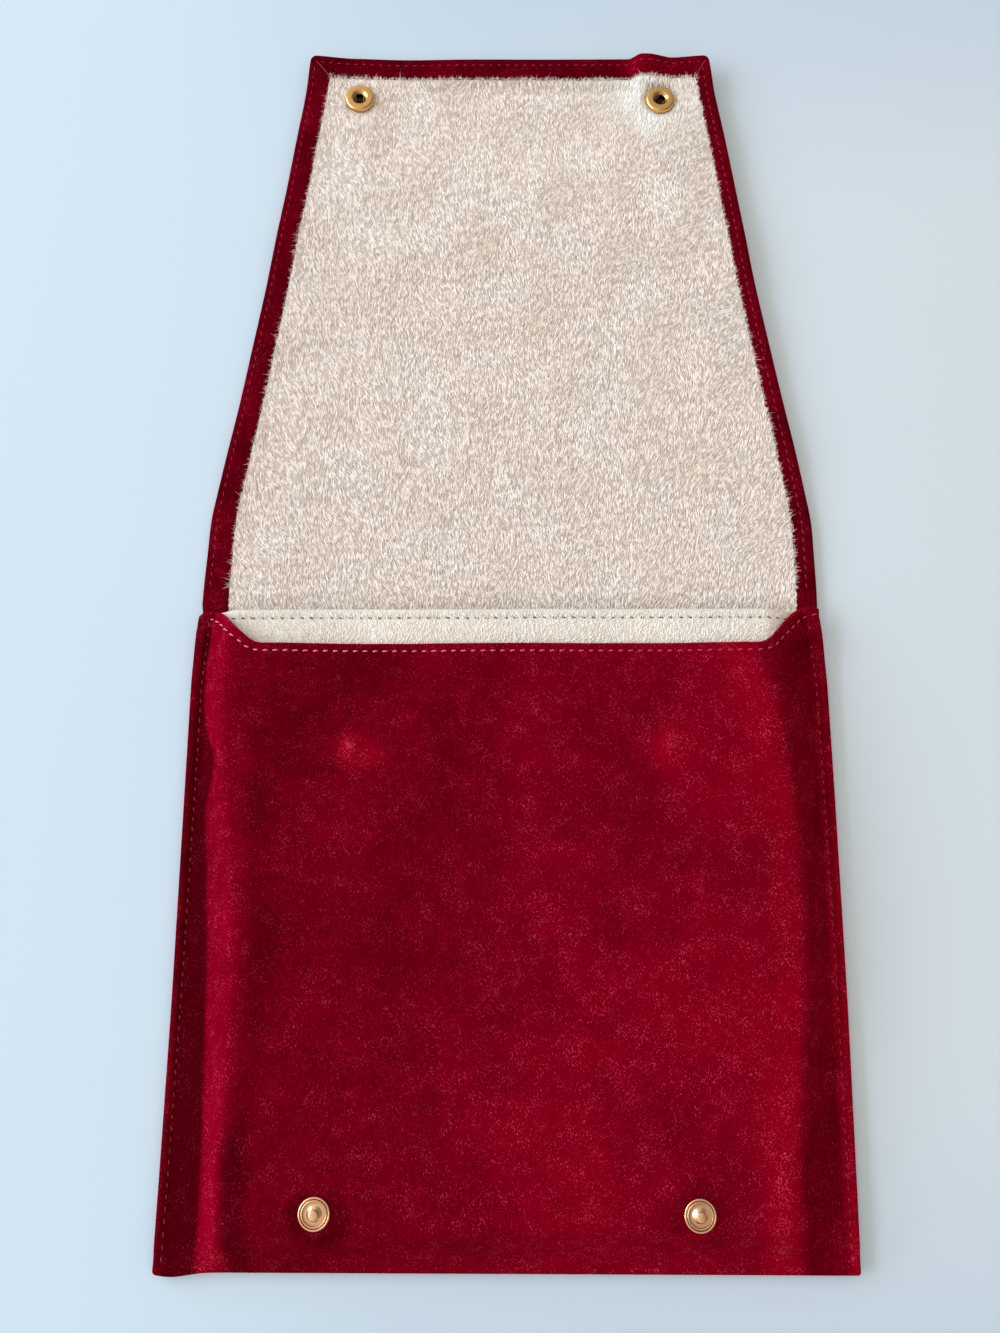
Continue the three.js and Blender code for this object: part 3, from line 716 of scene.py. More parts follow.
def front_rows():
    """Each row of the front: y, z, its inward direction in Y and Z, and the side roll's radius."""
    fold = SEAM_TOP / 2
    centre = BOTTOM + fold
    x = SHARE * (HALF - EDGE_ROLL)
    edge = mouth_line(np.clip(x, -HALF, HALF))
    rows = []
    for along in (FOLD_REACH, 4.0, 1.5):
        rows.append((centre + along + x * 0, x * 0, 0, 1, EDGE_ROLL))
    for angle in np.linspace(math.pi, 0, 13)[:-1]:
        y = centre - fold * math.sin(angle)
        z = fold + fold * math.cos(angle)
        rows.append((y + x * 0, z + x * 0, math.sin(angle), -math.cos(angle), EDGE_ROLL))
    reach = MOUTH_EDGE - MOUTH_ROLL - centre
    for along in spaced((0, 16, 0.8), (16, reach - 14, 1.3), (reach - 14, reach, 0.6)) / reach:
        y = lerp(centre, edge - MOUTH_ROLL, along)
        near = smooth((along * reach - (reach - 7)) / 7)
        rows.append((y, front_top(x, y), 0, -1, lerp(EDGE_ROLL, EAR_ROLL, near)))
    top = rows[-1][1]
    for angle in ROLL[1:]:
        y = edge - MOUTH_ROLL + MOUTH_ROLL * math.sin(angle)
        z = top - MOUTH_ROLL + MOUTH_ROLL * math.cos(angle)
        rows.append((y, z, -math.sin(angle), -math.cos(angle), EAR_ROLL))
    for back in (1.5, 3.5, 6.0):
        y = edge - MOUTH_ROLL - back
        rows.append((y, front_top(x, y) - 2 * MOUTH_ROLL, 0, 1, EAR_ROLL))
    return rows


def front_suede():
    points = []
    for y, z, inward_y, inward_z, radius in front_rows():
        half = body_half(y)
        x = SHARE * (half - radius) + OUT * radius - BACK
        depth = DEEP * radius
        points.append(np.stack([x, y + inward_y * depth, z + inward_z * depth], 1))
    rows = len(points)
    return thicken(np.concatenate(points), grid_faces(rows, len(SHARE)), SUEDE * SHEET_SHARE)


# The back and the flap share one hem: each row's share of its width, and how much lower it lies
HEM_SHARES = np.array([0.24, 0.3, 0.37, 0.43, 0.5, 0.58, 0.68, 0.79, 0.88, 0.95, 0.99, 1.0, 0.985])
HEM_FALLS = np.array([0, 0, 0, 0, 0, 0.02, 0.04, 0.08, 0.14, 0.26, 0.5, 0.8, 1.1])


def hem_section(radius, width):
    """The turned edge from under the flap, round and over to the hem's inner edge."""
    inset = np.concatenate([radius * (1 - np.sin(ROLL)), HEM_SHARES * width])
    puff = 0.14 * smooth((HEM_SHARES * width - 1.1) / 1.2) - HEM_FALLS
    height = np.concatenate([radius * (1 - np.cos(ROLL)), 2 * radius + puff])
    return inset, height


def flap_half(y):
    taper = np.clip((y - FLAP_BEND) / (END - FLAP_BEND), 0, 1)
    straight = lerp(body_half(np.minimum(y, MOUTH_CREASE)), FLAP_HALF, smooth((y + 9) / 5))
    soft = sum(np.clip((y + s - FLAP_BEND) / (END - FLAP_BEND), 0, 1) for s in (-4, -2, 0, 2, 4)) / 5
    blend = np.where(y > END - 10, taper, soft)
    return straight - (FLAP_HALF - FLAP_END_HALF) * blend


def near_snap(x, y, snap):
    """1 where the cloth is held flat between a snap's two halves, 0 away from them."""
    return smooth((SNAP_REACH - apart(x, y, snap)) / 2.2)


def flank_line(y):
    """Where the cloth comes up beside the right snap."""
    return 45.2 + 5.5 * smooth((183 - y) / 10) + 4 * smooth((174 - y) / 24)


def flap_shape(x, y):
    """How far the flap's cloth lies above flat: it comes up to its caps, and waves a little."""
    z = CAP_SEAT * smooth((y - RISE_START) / RISE_LENGTH)
    free = smooth((y - 14) / 40)
    z = z + free * 0.3 * (1 + waves(x, y, 85, 11) / 1.5)
    side = flap_half(y) - np.abs(x)
    z = z + free * 0.35 * smooth(1 - side / 16) * (1 + waves(x * 0, y, 46, 12) / 1.5)
    z = z + EDGE_LIFT * smooth(1 - side / 28) * bell(y, 105, 52) * (x > 0)
    # The cloth sags between its snaps, and comes up to the right one in a short steep slope
    flank = flank_line(y)
    above = smooth((x - flank) / 4.8 + 0.5)
    sag = SAG * smooth((y - SAG_START) / 40) * smooth((END - 7 - y) / 6)
    z = z - sag * (1 - above) * smooth((x + 44) / 34)
    peak = RIPPLE * smooth((y - END + 15) / 9) + 0.4 * smooth((y - 150) / 30)
    z = z + peak * above * (1 - 0.75 * smooth((x - flank - 4) / 11))
    z = z - 0.7 * smooth((y - 150) / 36) * bell(x, -38, 16)
    # The end's two corners curl up
    for sign, curl in zip((-1, 1), CORNER_CURLS):
        corner = apart(x, y, (sign * FLAP_END_HALF, END))
        z = z + curl * smooth(1 - corner / 16)
    z = lerp(z, (z + np.sqrt(z * z + 0.06)) / 2, free)
    for socket in SOCKETS:
        z = lerp(z, CAP_SEAT, near_snap(x, y, socket))
    return z


FLAP_Y = spaced((0, 14, 1.0), (14, 184, 1.3), (184, END - 4, 0.9), (END - 4, END - HEM_ROLL, 0.45))
FLAP_ROWS = FLAP_Y / FLAP_Y[-1]


def round_corner(x, y):
    """Points near the flap's end corners, moved so that the corners are round."""
    dx = np.abs(x) - (FLAP_END_HALF - CORNER_ROUND)
    dy = y - (END - CORNER_ROUND)
    inside = (dx > 0) & (dy > 0)
    share = np.where(inside, np.maximum(dx, dy) / np.maximum(np.hypot(dx, dy), 1e-9), 1)
    x = np.where(inside, np.sign(x) * (FLAP_END_HALF - CORNER_ROUND + dx * share), x)
    return x, np.where(inside, END - CORNER_ROUND + dy * share, y)


def ring(insets):
    """The flap's outline drawn in by its left, end and right insets: up, across and down again."""
    left, end, right = insets
    side_y = FLAP_ROWS * (END - end)
    left_x = left - flap_half(side_y)
    right_x = flap_half(side_y) - right
    end_x = lerp(left_x[-1], right_x[-1], (LEVEL[1:-1] + 1) / 2)
    x = np.concatenate([left_x, end_x, right_x[::-1]])
    y = np.concatenate([side_y, np.full(len(end_x), END - end), side_y[::-1]])
    return x, y


HEM_STITCH = {"left": 2.3, "end": 3.0, "right": 3.3}
SIDES = ("left", "end", "right")


def hem_dent(inset, side):
    return 0.24 * bell(inset, HEM_STITCH[side], 0.42)


def hem_groove(insets, strength):
    """The dent along the hem's stitches, and at its two mitred corners."""
    rows, columns = len(FLAP_ROWS), len(LEVEL) - 2
    dents = [-hem_dent(inset, side) for inset, side in zip(insets, SIDES)]
    dent = np.repeat(dents, (rows, columns, rows))
    if 0.4 < insets[0] < 6:
        dent[[rows - 1, rows + columns]] -= 0.32
    return dent * strength


def flap_suede():
    x = np.outer(flap_half(FLAP_Y) - HEM_ROLL, LEVEL).ravel()
    y = np.repeat(FLAP_Y, len(LEVEL))
    points = [np.stack([*round_corner(x, y), flap_shape(x, y)], 1)]
    rows, columns = len(FLAP_Y), len(LEVEL)
    faces = [grid_faces(rows, columns)[:, ::-1]]
    index = np.arange(rows * columns).reshape(rows, columns)
    loop = np.concatenate([index[:, 0], index[-1, 1:-1], index[::-1, -1]])
    first = rows * columns
    sections = [hem_section(HEM_ROLL, HEM_WIDTH[side]) for side in SIDES]
    heights = sections[0][1]
    for k in range(1, len(heights)):
        insets = [section[0][k] for section in sections]
        x, y = ring(insets)
        z = flap_shape(x, y) + heights[k] + hem_groove(insets, heights[k] > HEM_ROLL)
        points.append(np.stack([*round_corner(x, y), z], 1))
        following = first + np.arange(len(x))
        faces.append(np.stack([loop[:-1], following[:-1], following[1:], loop[1:]], 1))
        loop = following
        first += len(x)
    return thicken(np.concatenate(points), np.concatenate(faces), SUEDE * SHEET_SHARE)


def back_suede():
    """The back, with its edges turned in, from the bottom fold up to the middle of the flap's fold."""
    start = BOTTOM + SEAM_TOP / 2 + FOLD_REACH - 0.6
    ys = spaced((start, -24, 1.6), (-24, 0, 0.8))
    points = []
    for y in ys:
        radius = lerp(EDGE_ROLL, HEM_ROLL, smooth((y + 12) / 8))
        half = flap_half(y)
        level = LEVEL * (half - radius)
        columns, heights = [level], [level * 0]
        for sign, side in ((-1, "left"), (1, "right")):
            inset, height = hem_section(radius, HEM_WIDTH[side])
            dent = hem_dent(inset, side) * smooth((y + 9) / 8)
            height = height - np.where(height > radius, dent, 0)
            columns.insert(0 if sign < 0 else 2, (sign * (half - inset[1:]))[::sign])
            heights.insert(0 if sign < 0 else 2, height[1:][::sign])
        x = np.concatenate(columns)
        points.append(np.stack([x, x * 0 + y, np.concatenate(heights)], 1))
    faces = grid_faces(len(ys), len(points[0]))[:, ::-1]
    return thicken(np.concatenate(points), faces, SUEDE * SHEET_SHARE)


def left_seam_tone_and_light(y, inset, low, high, foot):
    """Beside the left seam, painted light and shade: a shaded valley, the lit slope up to the crown, and
    a darker ebb behind it.
    """
    start = slope(y, 1) + 4.5 * bell(y, -56, 9)
    end = start + slope(y, 2)
    rim = smooth((2.8 - inset) / 1.5)
    valley = smooth((start - inset) / 2.4 + 0.8) * smooth((inset - 1.6) / 1.2)
    valley = valley * (1 - 0.5 * smooth((y - MOUTH_CREASE + EAR_REACH) / 9))
    lit = smooth((inset - start) / 1.5) * smooth((end + lerp(5.5, 2, foot) - inset) / 7)
    ebb = bell(inset, end + lerp(8, 3, foot), 4.5) * np.maximum(foot, 0.35 * (1 - high))
    tone_and_painted_light = lerp(0.28, 0.3, low) * lit + 0.3 * foot * bell(inset, start + 5.4, 3)
    return tone_and_painted_light - (0.5 + 0.12 * low) * valley - 0.1 * rim - 0.36 * ebb


def right_seam_tone_and_light(y, inset, high, foot):
    """Beside the right seam: shade up to a bright crest, and a rim that is lit below the middle."""
    end = 13.5 + 5 * high + 5 * foot + 6 * smooth((y + 38) / 16)
    shade = smooth((inset - 2.6) / 1.4) * smooth((end - inset) / 3)
    crest = bell(inset, end + 5, 5) * (0.2 + 0.2 * high + 0.36 * foot)
    rim = smooth((3.2 - inset) / 1.2)
    rim_light = 0.3 * smooth((-60 - y) / 40) - 0.1 * smooth((y + 60) / 30)
    # Painted shade under the ear
    ear = smooth((7 - inset) / 3) * smooth((y - MOUTH_CREASE + EAR_REACH + 3) / 9)
    return crest - (0.24 + 0.1 * foot) * shade + rim * rim_light - 0.2 * ear


def front_tone_and_light(x, y, z):
    """Lighter towards the right and the bottom, with painted light and shade in bands along the side
    seams.
    """
    low = smooth((-45 - y) / 110)
    high = bell(y, -36, 30)
    foot = bell(y, -178, 38)
    inset = body_half(y) - np.abs(x)
    down = from_mouth(x, y)
    across = lerp(smooth((x - 25) / 60), smooth((x + 55) / 90), low)
    tone_and_painted_light = 0.31 + 0.22 * across + 0.06 * low
    tone_and_painted_light = tone_and_painted_light + np.where(x < 0, left_seam_tone_and_light(y, inset, low, high, foot), right_seam_tone_and_light(y, inset, high, foot))
    # A dusty corner, the mouth's lit edge and a faint light patch below it
    tone_and_painted_light = tone_and_painted_light + 0.3 * bell(x, -90, 6) * bell(y, -197, 4)
    tone_and_painted_light = tone_and_painted_light + 0.1 * smooth((2.6 - down) / 0.6) + 0.5 * smooth((0.6 - down) / 0.5)
    tone_and_painted_light = tone_and_painted_light + 0.1 * bell(x, 5, 32) * bell(y, -62, 30)
    # Painted shade round the studs, and painted highlights on the bumps where the pocket's snaps press
    # from inside
    for stud in STUDS:
        tone_and_painted_light = tone_and_painted_light - 0.22 * bell(apart(x - 1.2, y + 1.2, stud), 6.4, 2.6)
    for place, strength, reach in zip(BUMPS, (1.1, 0.85), (3.8, 4.8)):
        tone_and_painted_light = tone_and_painted_light + strength * bell(np.hypot(x - place[0], (y - place[1]) * 0.85), 0, reach)
        tone_and_painted_light = tone_and_painted_light + 0.45 * bell(apart(x - 7, y + 2, place), 0, 3.5) * (x < 0)
        tone_and_painted_light = tone_and_painted_light + 0.12 * bell(x, place[0] + 4, 9) * bell(y, place[1] - 12, 16)
    return tone_and_painted_light


def back_nap(x, y, z):
    return lerp(0.42, 0.2, smooth((y + 30) / 15))


def flap_tone_and_light(x, y, z):
    """Dark, with painted light on the slope of the ripple that faces the window, and a little darker at
    the end.
    """
    end = smooth(1 - (END - y) / 12)
    return 0.12 + 0.5 * bell(x, 44, 5) * end - 0.07 * end * bell(x, -10, 36)


front = lay("front_suede", front_suede(), SUEDE_RED, "pouch", front_tone_and_light)
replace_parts(front, "front_panel")
back = lay("back_suede", back_suede(), SUEDE_RED, "mouth crease", back_nap)
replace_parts(back, "back_panel")
flap = lay("flap_suede", flap_suede(), SUEDE_RED, "flap crease", flap_tone_and_light)
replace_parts(flap, "flap_panel", "fold_panel")


# Linings

def laid_on(top, x, y, above=0.0):
    """Points at x and y, a height above a top face."""
    return np.stack([x, y, top(x, y) + above], 1)


def slab(xs, ys, half, top, thickness):
    """A sheet of cloth over a grid: shares of a half width across, and its top face's height."""
    y = np.repeat(ys, len(xs))
    x = np.tile(xs, len(ys)) * half(y)
    return thicken(laid_on(top, x, y), grid_faces(len(ys), len(xs)), thickness)


def flap_lining_top(x, y):
    z = flap_shape(x, y) + LINING_TOP + LINING_RAISE + 0.07 * waves(x, y, 4.5, 21, 12)
    for socket in SOCKETS:
        z = z - 0.3 * near_snap(x, y, socket)
    return z


def lining_painted_light(x, y, z):
    """Painted light on the pile, on the slope beside the right snap, which faces the window."""
    flank = flank_line(y)
    lit = 1.15 * bell(x, flank - 1.6, 4.8) + 0.3 * bell(x, flank - 12, 8) + 0.3 * smooth((x - 44) / 8)
    return np.minimum(smooth((y - 162) / 18) * lit, 1)


def back_lining_top(x, y):
    uneven = 0.07 * waves(x, y, 4.5, 21, 12) * smooth((y + 40) / 20)
    return LINING_TOP + LINING_RAISE * smooth((y + 16) / 8) + uneven


def pocket_top(x, y):
    rise = side_rise(x, y) * smooth((y - BOTTOM - BOTTOM_FLAT) / 10)
    z = 1.85 + lerp(4.7, 5.6, smooth((y + 60) / 40)) * rise
    down = POCKET_EDGE - y
    z = z + 0.1 * bell(down, 1.2, 0.9) - 0.22 * bell(down, POCKET_HEM, 0.5)
    return z + 0.2 * waves(x, y, 55, 31) * rise + 0.04 * waves(x, y, 5, 32, 12) * rise


def pocket_lean(x, y):
    """The pocket's edge lies a little higher to the right."""
    return POCKET_TILT * x / HALF * smooth((y + 60) / 50)


def front_lining_top(x, y):
    return front_top(x, y) - SUEDE - LINING_GAP - 0.3 * smooth(1 - from_mouth(x, y) / 9)


def flap_lining():
    ys = spaced((0, END - FLAP_LINING_INSET, 1.4))
    return slab(LEVEL, ys, lambda y: flap_half(y) - FLAP_LINING_INSET, flap_lining_top, PLUSH)


def back_lining():
    ys = spaced((BOTTOM + 4, -30, 3.0), (-30, 0, 1.2))
    return slab(LEVEL, ys, lambda y: flap_half(y) - BACK_LINING_INSET, back_lining_top, PLUSH)


def pocket_panel():
    """The pocket panel, whose sheet rolls over at its top edge and comes down inside."""
    roll = 0.5
    near, top = POCKET_EDGE - 6, POCKET_EDGE - roll
    ys = spaced((BOTTOM + 4, -60, 3.0), (-60, near, 1.4), (near, top, 0.5))
    half = body_half(ys) - POCKET_INSET
    points = []
    for y, wide in zip(ys, half):
        x = LEVEL * wide
        points.append(laid_on(pocket_top, x, x * 0 + y))
    x, edge = points[-1][:, 0], points[-1][:, 2]
    for angle in ROLL[1:]:
        y = ys[-1] + roll * math.sin(angle) + x * 0
        points.append(np.stack([x, y, edge - roll + roll * math.cos(angle)], 1))
    for back in (2.0, 5.0, 8.0):
        y = ys[-1] - back + x * 0
        points.append(laid_on(pocket_top, x, y, -2 * roll))
    points = np.concatenate(points)
    points[:, 1] += pocket_lean(points[:, 0], points[:, 1])
    return thicken(points, grid_faces(len(points) // len(LEVEL), len(LEVEL)), 0.42)


def front_lining():
    """The front's lining, from the turned mouth down to the bottom slope."""
    xs = LEVEL[2:-2] / LEVEL[-3]
    fractions = spaced((0, 0.85, 0.02), (0.85, 1, 0.006))
    low, high = node_box("front_lining")
    points = []
    for t in fractions:
        x = xs * high[0]
        y = lerp(low[1], mouth_line(x) - 1.6, t)
        points.append(laid_on(front_lining_top, x, y))
    return thicken(np.concatenate(points), grid_faces(len(fractions), len(xs)), PLUSH * SHEET_SHARE)


flap_plush = lay("flap_lining_plush", flap_lining(), PLUSH_CREAM, "flap crease", lining_painted_light)
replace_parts(flap_plush, "flap_lining", "fold_lining")
back_plush = lay("back_lining_plush", back_lining(), PLUSH_CREAM, "mouth crease")
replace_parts(back_plush, "back_lining")
pocket = lay("pocket_plush", pocket_panel(), POCKET_CREAM, "pouch")
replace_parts(pocket, "pocket_panel")
front_plush = lay("front_lining_plush", front_lining(), PLUSH_CREAM, "pouch")
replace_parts(front_plush, "front_lining")


# Pile

def strands(roots, ways, lengths, rises, widths):
    """Short strands, each a closed ridge that tapers from its root to its tip, lying along its way."""
    ahead = np.stack([np.cos(ways), np.sin(ways), ways * 0], 1)
    beside = np.stack([-np.sin(ways), np.cos(ways), ways * 0], 1) * widths[:, None] / 2
    tip = roots + ahead * lengths[:, None]
    tip[:, 2] += rises
    ridge = roots + ahead * widths[:, None] * 0.3
    ridge[:, 2] += widths * 0.5
    points = np.stack([roots + beside, roots - beside, ridge, tip], 1).reshape(-1, 3)
    first = 4 * np.arange(len(roots))[:, None]
    faces = [first + np.array(corners) for corners in ((0, 2, 3), (1, 3, 2), (0, 3, 1), (0, 1, 2))]
    return points, np.concatenate(faces)


def pile(x, y, top, seed, length=2.7, rise=0.34, width=0.62):
    """Strands over a lining, leaning about one way with swirls."""
    rng = np.random.default_rng(seed)
    x, y = x + rng.uniform(-0.4, 0.4, x.shape), y + rng.uniform(-0.4, 0.4, y.shape)
    ways = -math.pi / 2 - x / 170 + 0.32 * waves(x, y, 30, 41) + rng.normal(0, 0.22, x.shape)
    lengths = length * rng.uniform(0.6, 1.25, x.shape)
    rises = rise * rng.uniform(0.35, 1.2, x.shape)
    roots = laid_on(top, x, y, -0.05)
    return strands(roots, ways, lengths, rises, width * rng.uniform(0.7, 1.3, x.shape))


def cells(x_reach, y_low, y_high, size):
    xs, ys = np.meshgrid(np.arange(-x_reach, x_reach, size), np.arange(y_low, y_high, size))
    return xs.ravel(), ys.ravel()


def hem_edge(x, y):
    """How far from the axis the hem's inner edge lies on this side."""
    return flap_half(y) - np.where(x < 0, HEM_WIDTH["left"], HEM_WIDTH["right"])


def within_hem(x, y):
    return np.abs(x) < hem_edge(x, y) + 0.2


def flap_pile(side):
    x, y = cells(HALF, 0.3, END, 0.7)
    x, y = x[x * side > 0], y[x * side > 0]
    clear = np.min([apart(x, y, socket) for socket in SOCKETS], axis=0)
    keep = within_hem(x, y) & (y < END - HEM_WIDTH["end"] + 0.2) & (clear > 5.0)
    return pile(x[keep], y[keep], flap_lining_top, 51 + side)


def hem_fringe():
    """Longer strands in loose clumps that come out from under the hem's inner edge and lie over it."""
    rng = np.random.default_rng(61)
    runs = []
    for sign, count, way in ((-1, 900, math.pi + 0.4), (0, 1200, math.pi / 2 - 0.35), (1, 1200, 0.3)):
        share = rng.uniform(0, 1, count)
        inset = rng.uniform(-0.3, 0.7, count)
        x = lerp(7 - FLAP_END_HALF, FLAP_END_HALF - 7, share)
        y = END - HEM_WIDTH["end"] - inset
        if sign:
            y = lerp(1, END - 7, share)
            x = sign * (hem_edge(sign, y) - inset)
        runs.append(np.stack([x, y, way + rng.normal(0, 0.6, count)], 1))
    x, y, way = np.concatenate(runs).T
    long = waves(x, y, 11, 62) - 0.5 > rng.uniform(-1.2, 1.2, len(x))
    lengths = np.minimum(rng.gamma(2.0, np.where(long, 0.45, 0.12), len(x)) + 0.3, 2.6)
    roots = laid_on(flap_lining_top, x, y, 0.35)
    rises = rng.uniform(0.3, 0.7, len(x))
    return strands(roots, way, lengths, rises, rng.uniform(0.1, 0.2, len(x)))


def back_pile():
    x, y = cells(HALF, -12, 0.3, 0.82)
    keep = within_hem(x, y)
    return pile(x[keep], y[keep], back_lining_top, 52)


def pocket_pile():
    x, y = cells(HALF, -34, POCKET_EDGE - 0.7, 0.8)
    keep = (np.abs(x) < body_half(y) - 5) & (np.abs(POCKET_EDGE - y - POCKET_HEM) > 0.5)
    x, y = x[keep], y[keep]
    points, faces = pile(x, y, pocket_top, 53, 1.6, 0.14, 0.56)
    points[:, 1] += np.repeat(pocket_lean(x, y), 4)
    return points, faces


flap_piles = [
    lay(f"{name}_flap_pile", flap_pile(side), STRAND_CREAM, "flap crease", lining_painted_light, flat=True)
    for side, name in ((-1, "left"), (1, "right"))
]
fringe = lay("hem_fringe", hem_fringe(), STRAND_CREAM, "flap crease", flat=True)
back_strands = lay("back_pile", back_pile(), STRAND_CREAM, "mouth crease", flat=True)
pocket_strands = lay("pocket_pile", pocket_pile(), STRAND_WHITE, "pouch", flat=True)


# Stitches

def along_path(points):
    """Places one stitch's pitch apart along a line of points, and the line's direction at each."""
    steps = np.linalg.norm(np.diff(points, axis=0), axis=1)
    run = np.concatenate([[0], np.cumsum(steps)])
    at = np.arange(STITCH_PITCH / 2, run[-1], STITCH_PITCH)
    behind, places, ahead = [
        np.stack([np.interp(at + shift, run, points[:, k]) for k in range(3)], 1)
        for shift in (-0.3, 0, 0.3)
    ]
    way = ahead - behind
    return places, way / np.linalg.norm(way, axis=1, keepdims=True)


# A stitch's rings: how far along it each lies, and its share of the full width
STITCH_RINGS = np.array([
    (-1, 0.02), (-0.93, 0.5), (-0.7, 0.85), (-0.35, 1), (0, 1),
    (0.35, 1), (0.7, 0.85), (0.93, 0.5), (1, 0.02),
])
STITCH_SIDES = 8


def stitch_faces():
    """One stitch's quads: round it, and over its two ends."""
    first = STITCH_SIDES * (len(STITCH_RINGS) - 1)
    fans = np.array([[0, j, j + 1, j + 2] for j in range(1, STITCH_SIDES - 2, 2)])
    return np.concatenate([ring_faces(len(STITCH_RINGS), STITCH_SIDES), fans[:, ::-1], fans + first])


def stitch_mesh(runs, seed, width=0.46, length=STITCH_LENGTH, tilt=0.12, lift=0.04, up=1, spread=0.05):
    """A stitch for each place: a thread that comes up, lies on the cloth and dives again."""
    rng = np.random.default_rng(seed)
    places = np.concatenate([r[0] for r in runs])
    way = np.concatenate([r[1] for r in runs])
    side = np.cross(np.array([0, 0, 1.0]), way)
    side /= np.linalg.norm(side, axis=1, keepdims=True)
    over = np.cross(way, side) * up
    turn = (tilt + rng.normal(0, 1, len(places)) * spread)[:, None]
    way, side = way * np.cos(turn) + side * np.sin(turn), side * np.cos(turn) - way * np.sin(turn)
    long = length * rng.uniform(0.92, 1.06, len(places))
    points = []
    for t, share in STITCH_RINGS:
        centre = places + way * (t * long / 2)[:, None] + over * (lift + 0.16 - 0.36 * t * t)
        for a in circle(STITCH_SIDES):
            points.append(centre + (side * math.cos(a) + over * 0.8 * math.sin(a)) * share * width / 2)
    first = len(points) * np.arange(len(places))[:, None, None]
    faces = (stitch_faces()[None] + first).reshape(-1, 4)
    return np.stack(points, 1).reshape(-1, 3), faces[:, ::-1] if up > 0 else faces


def mouth_stitches():
    x = np.linspace(-(HALF - 4.2), HALF - 2.6, 900)
    fall = mouth_line(x + 0.5) - mouth_line(x - 0.5)
    y = mouth_line(x) - MOUTH_STITCH * np.sqrt(1 + fall**2)
    return stitch_mesh([along_path(laid_on(front_top, x, y))], tilt=0.14, seed=71)


def seam_lines(top):
    """The two side seams' stitch lines on one face of the pouch."""
    y = np.linspace(BOTTOM + 3, MOUTH_CREASE - 5.5, 600)
    sides = [side * (body_half(y) - side_stitch_inset(y)) for side in (-1, 1)]
    return [along_path(laid_on(top, x, y)) for x in sides]


def side_stitches():
    return stitch_mesh(seam_lines(front_top), width=0.42, lift=0.06, seed=72)


def back_stitches():
    lines = seam_lines(lambda x, y: y * 0 - 0.02)
    return stitch_mesh(lines, width=0.4, lift=-0.12, up=-1, seed=73)


def hem_lines(height):
    """The flap's three stitch lines, a height above the cloth's own shape."""
    y = np.linspace(0.8, END - 3.2, 500)
    lines = []
    for side, key in ((-1, "left"), (1, "right")):
        x = side * (flap_half(y) - HEM_STITCH[key])
        lines.append(laid_on(flap_shape, x, y, height))
    x = np.linspace(-FLAP_END_HALF + 3.0, FLAP_END_HALF - 3.8, 500)
    lines.append(laid_on(flap_shape, x, x * 0 + END - HEM_STITCH["end"], height))
    return [along_path(line) for line in lines]


def hem_stitches():
    return stitch_mesh(hem_lines(2 * HEM_ROLL - 0.08), width=0.36, lift=-0.02, seed=74)


def under_stitches():
    return stitch_mesh(hem_lines(0.0), width=0.4, lift=-0.12, up=-1, seed=75)


def mitre_seams():
    """The folded hem's two slanting joins at the flap's end corners."""
    places, ways = [], []
    shares = np.array([0.14, 1.0])
    for sign, side in ((-1, "left"), (1, "right")):
        y = END - shares * HEM_WIDTH["end"]
        x = sign * (flap_half(y) - shares * HEM_WIDTH[side])
        middle = np.array([x.mean(), y.mean()])
        places.append([*middle, flap_shape(*middle) + 2 * HEM_ROLL - 0.05])
        ways.append([x[1] - x[0], y[1] - y[0], 0])
    length = np.linalg.norm(ways, axis=1).mean()
    run = (np.array(places), np.array(ways) / length)
    return stitch_mesh([run], width=0.36, length=length * 1.2, tilt=0, spread=0, seed=77)


def pocket_stitches():
    x = np.linspace(-(HALF - 7), HALF - 7, 800)
    y = x * 0 + POCKET_EDGE - POCKET_HEM
    line = along_path(np.stack([x, y + POCKET_TILT * x / HALF, pocket_top(x, y)], 1))
    return stitch_mesh([line], width=0.46, length=1.9, tilt=-0.3, lift=-0.06, seed=76)


mouth_thread = lay("mouth_stitches", mouth_stitches(), THREAD_PINK, "pouch")
side_thread = lay("side_stitches", side_stitches(), THREAD_ROSE, "pouch")
back_thread = lay("back_stitches", back_stitches(), THREAD_RED, "mouth crease")
hem_thread = lay("hem_stitches", hem_stitches(), THREAD_RED, "flap crease")
under_thread = lay("under_stitches", under_stitches(), THREAD_RED, "flap crease")
mitre_thread = lay("mitre_seams", mitre_seams(), THREAD_ROSE, "flap")
pocket_thread = lay("pocket_stitches", pocket_stitches(), THREAD_SHADED_CREAM, "pouch")


# Snaps

def arc(cx, cz, radius, start, end, count):
    """Points of a profile's round part; angles in degrees, 0 outwards and 90 up."""
    angles = np.radians(np.linspace(start, end, count))
    return [(cx + radius * math.cos(a), cz + radius * math.sin(a)) for a in angles]


TURNED_SIDES = 96


def turned(name, profile, centre, base, material):
    """A turned piece from its half profile, standing on a level base."""
    radius, height = np.array(profile, float).T[:, :, None]
    angles = circle(TURNED_SIDES)
    x = centre[0] + radius * np.cos(angles)
    y = centre[1] + radius * np.sin(angles)
    points = np.stack([x, y, base + height + 0 * angles], 2).reshape(-1, 3)
    return make_piece(name, points, ring_faces(len(profile), TURNED_SIDES), material, sharp=28)


AXIS = 0.01  # profiles stop this close to the axis
SPRING_LEVEL = 0.84  # the spring lies in the socket's groove

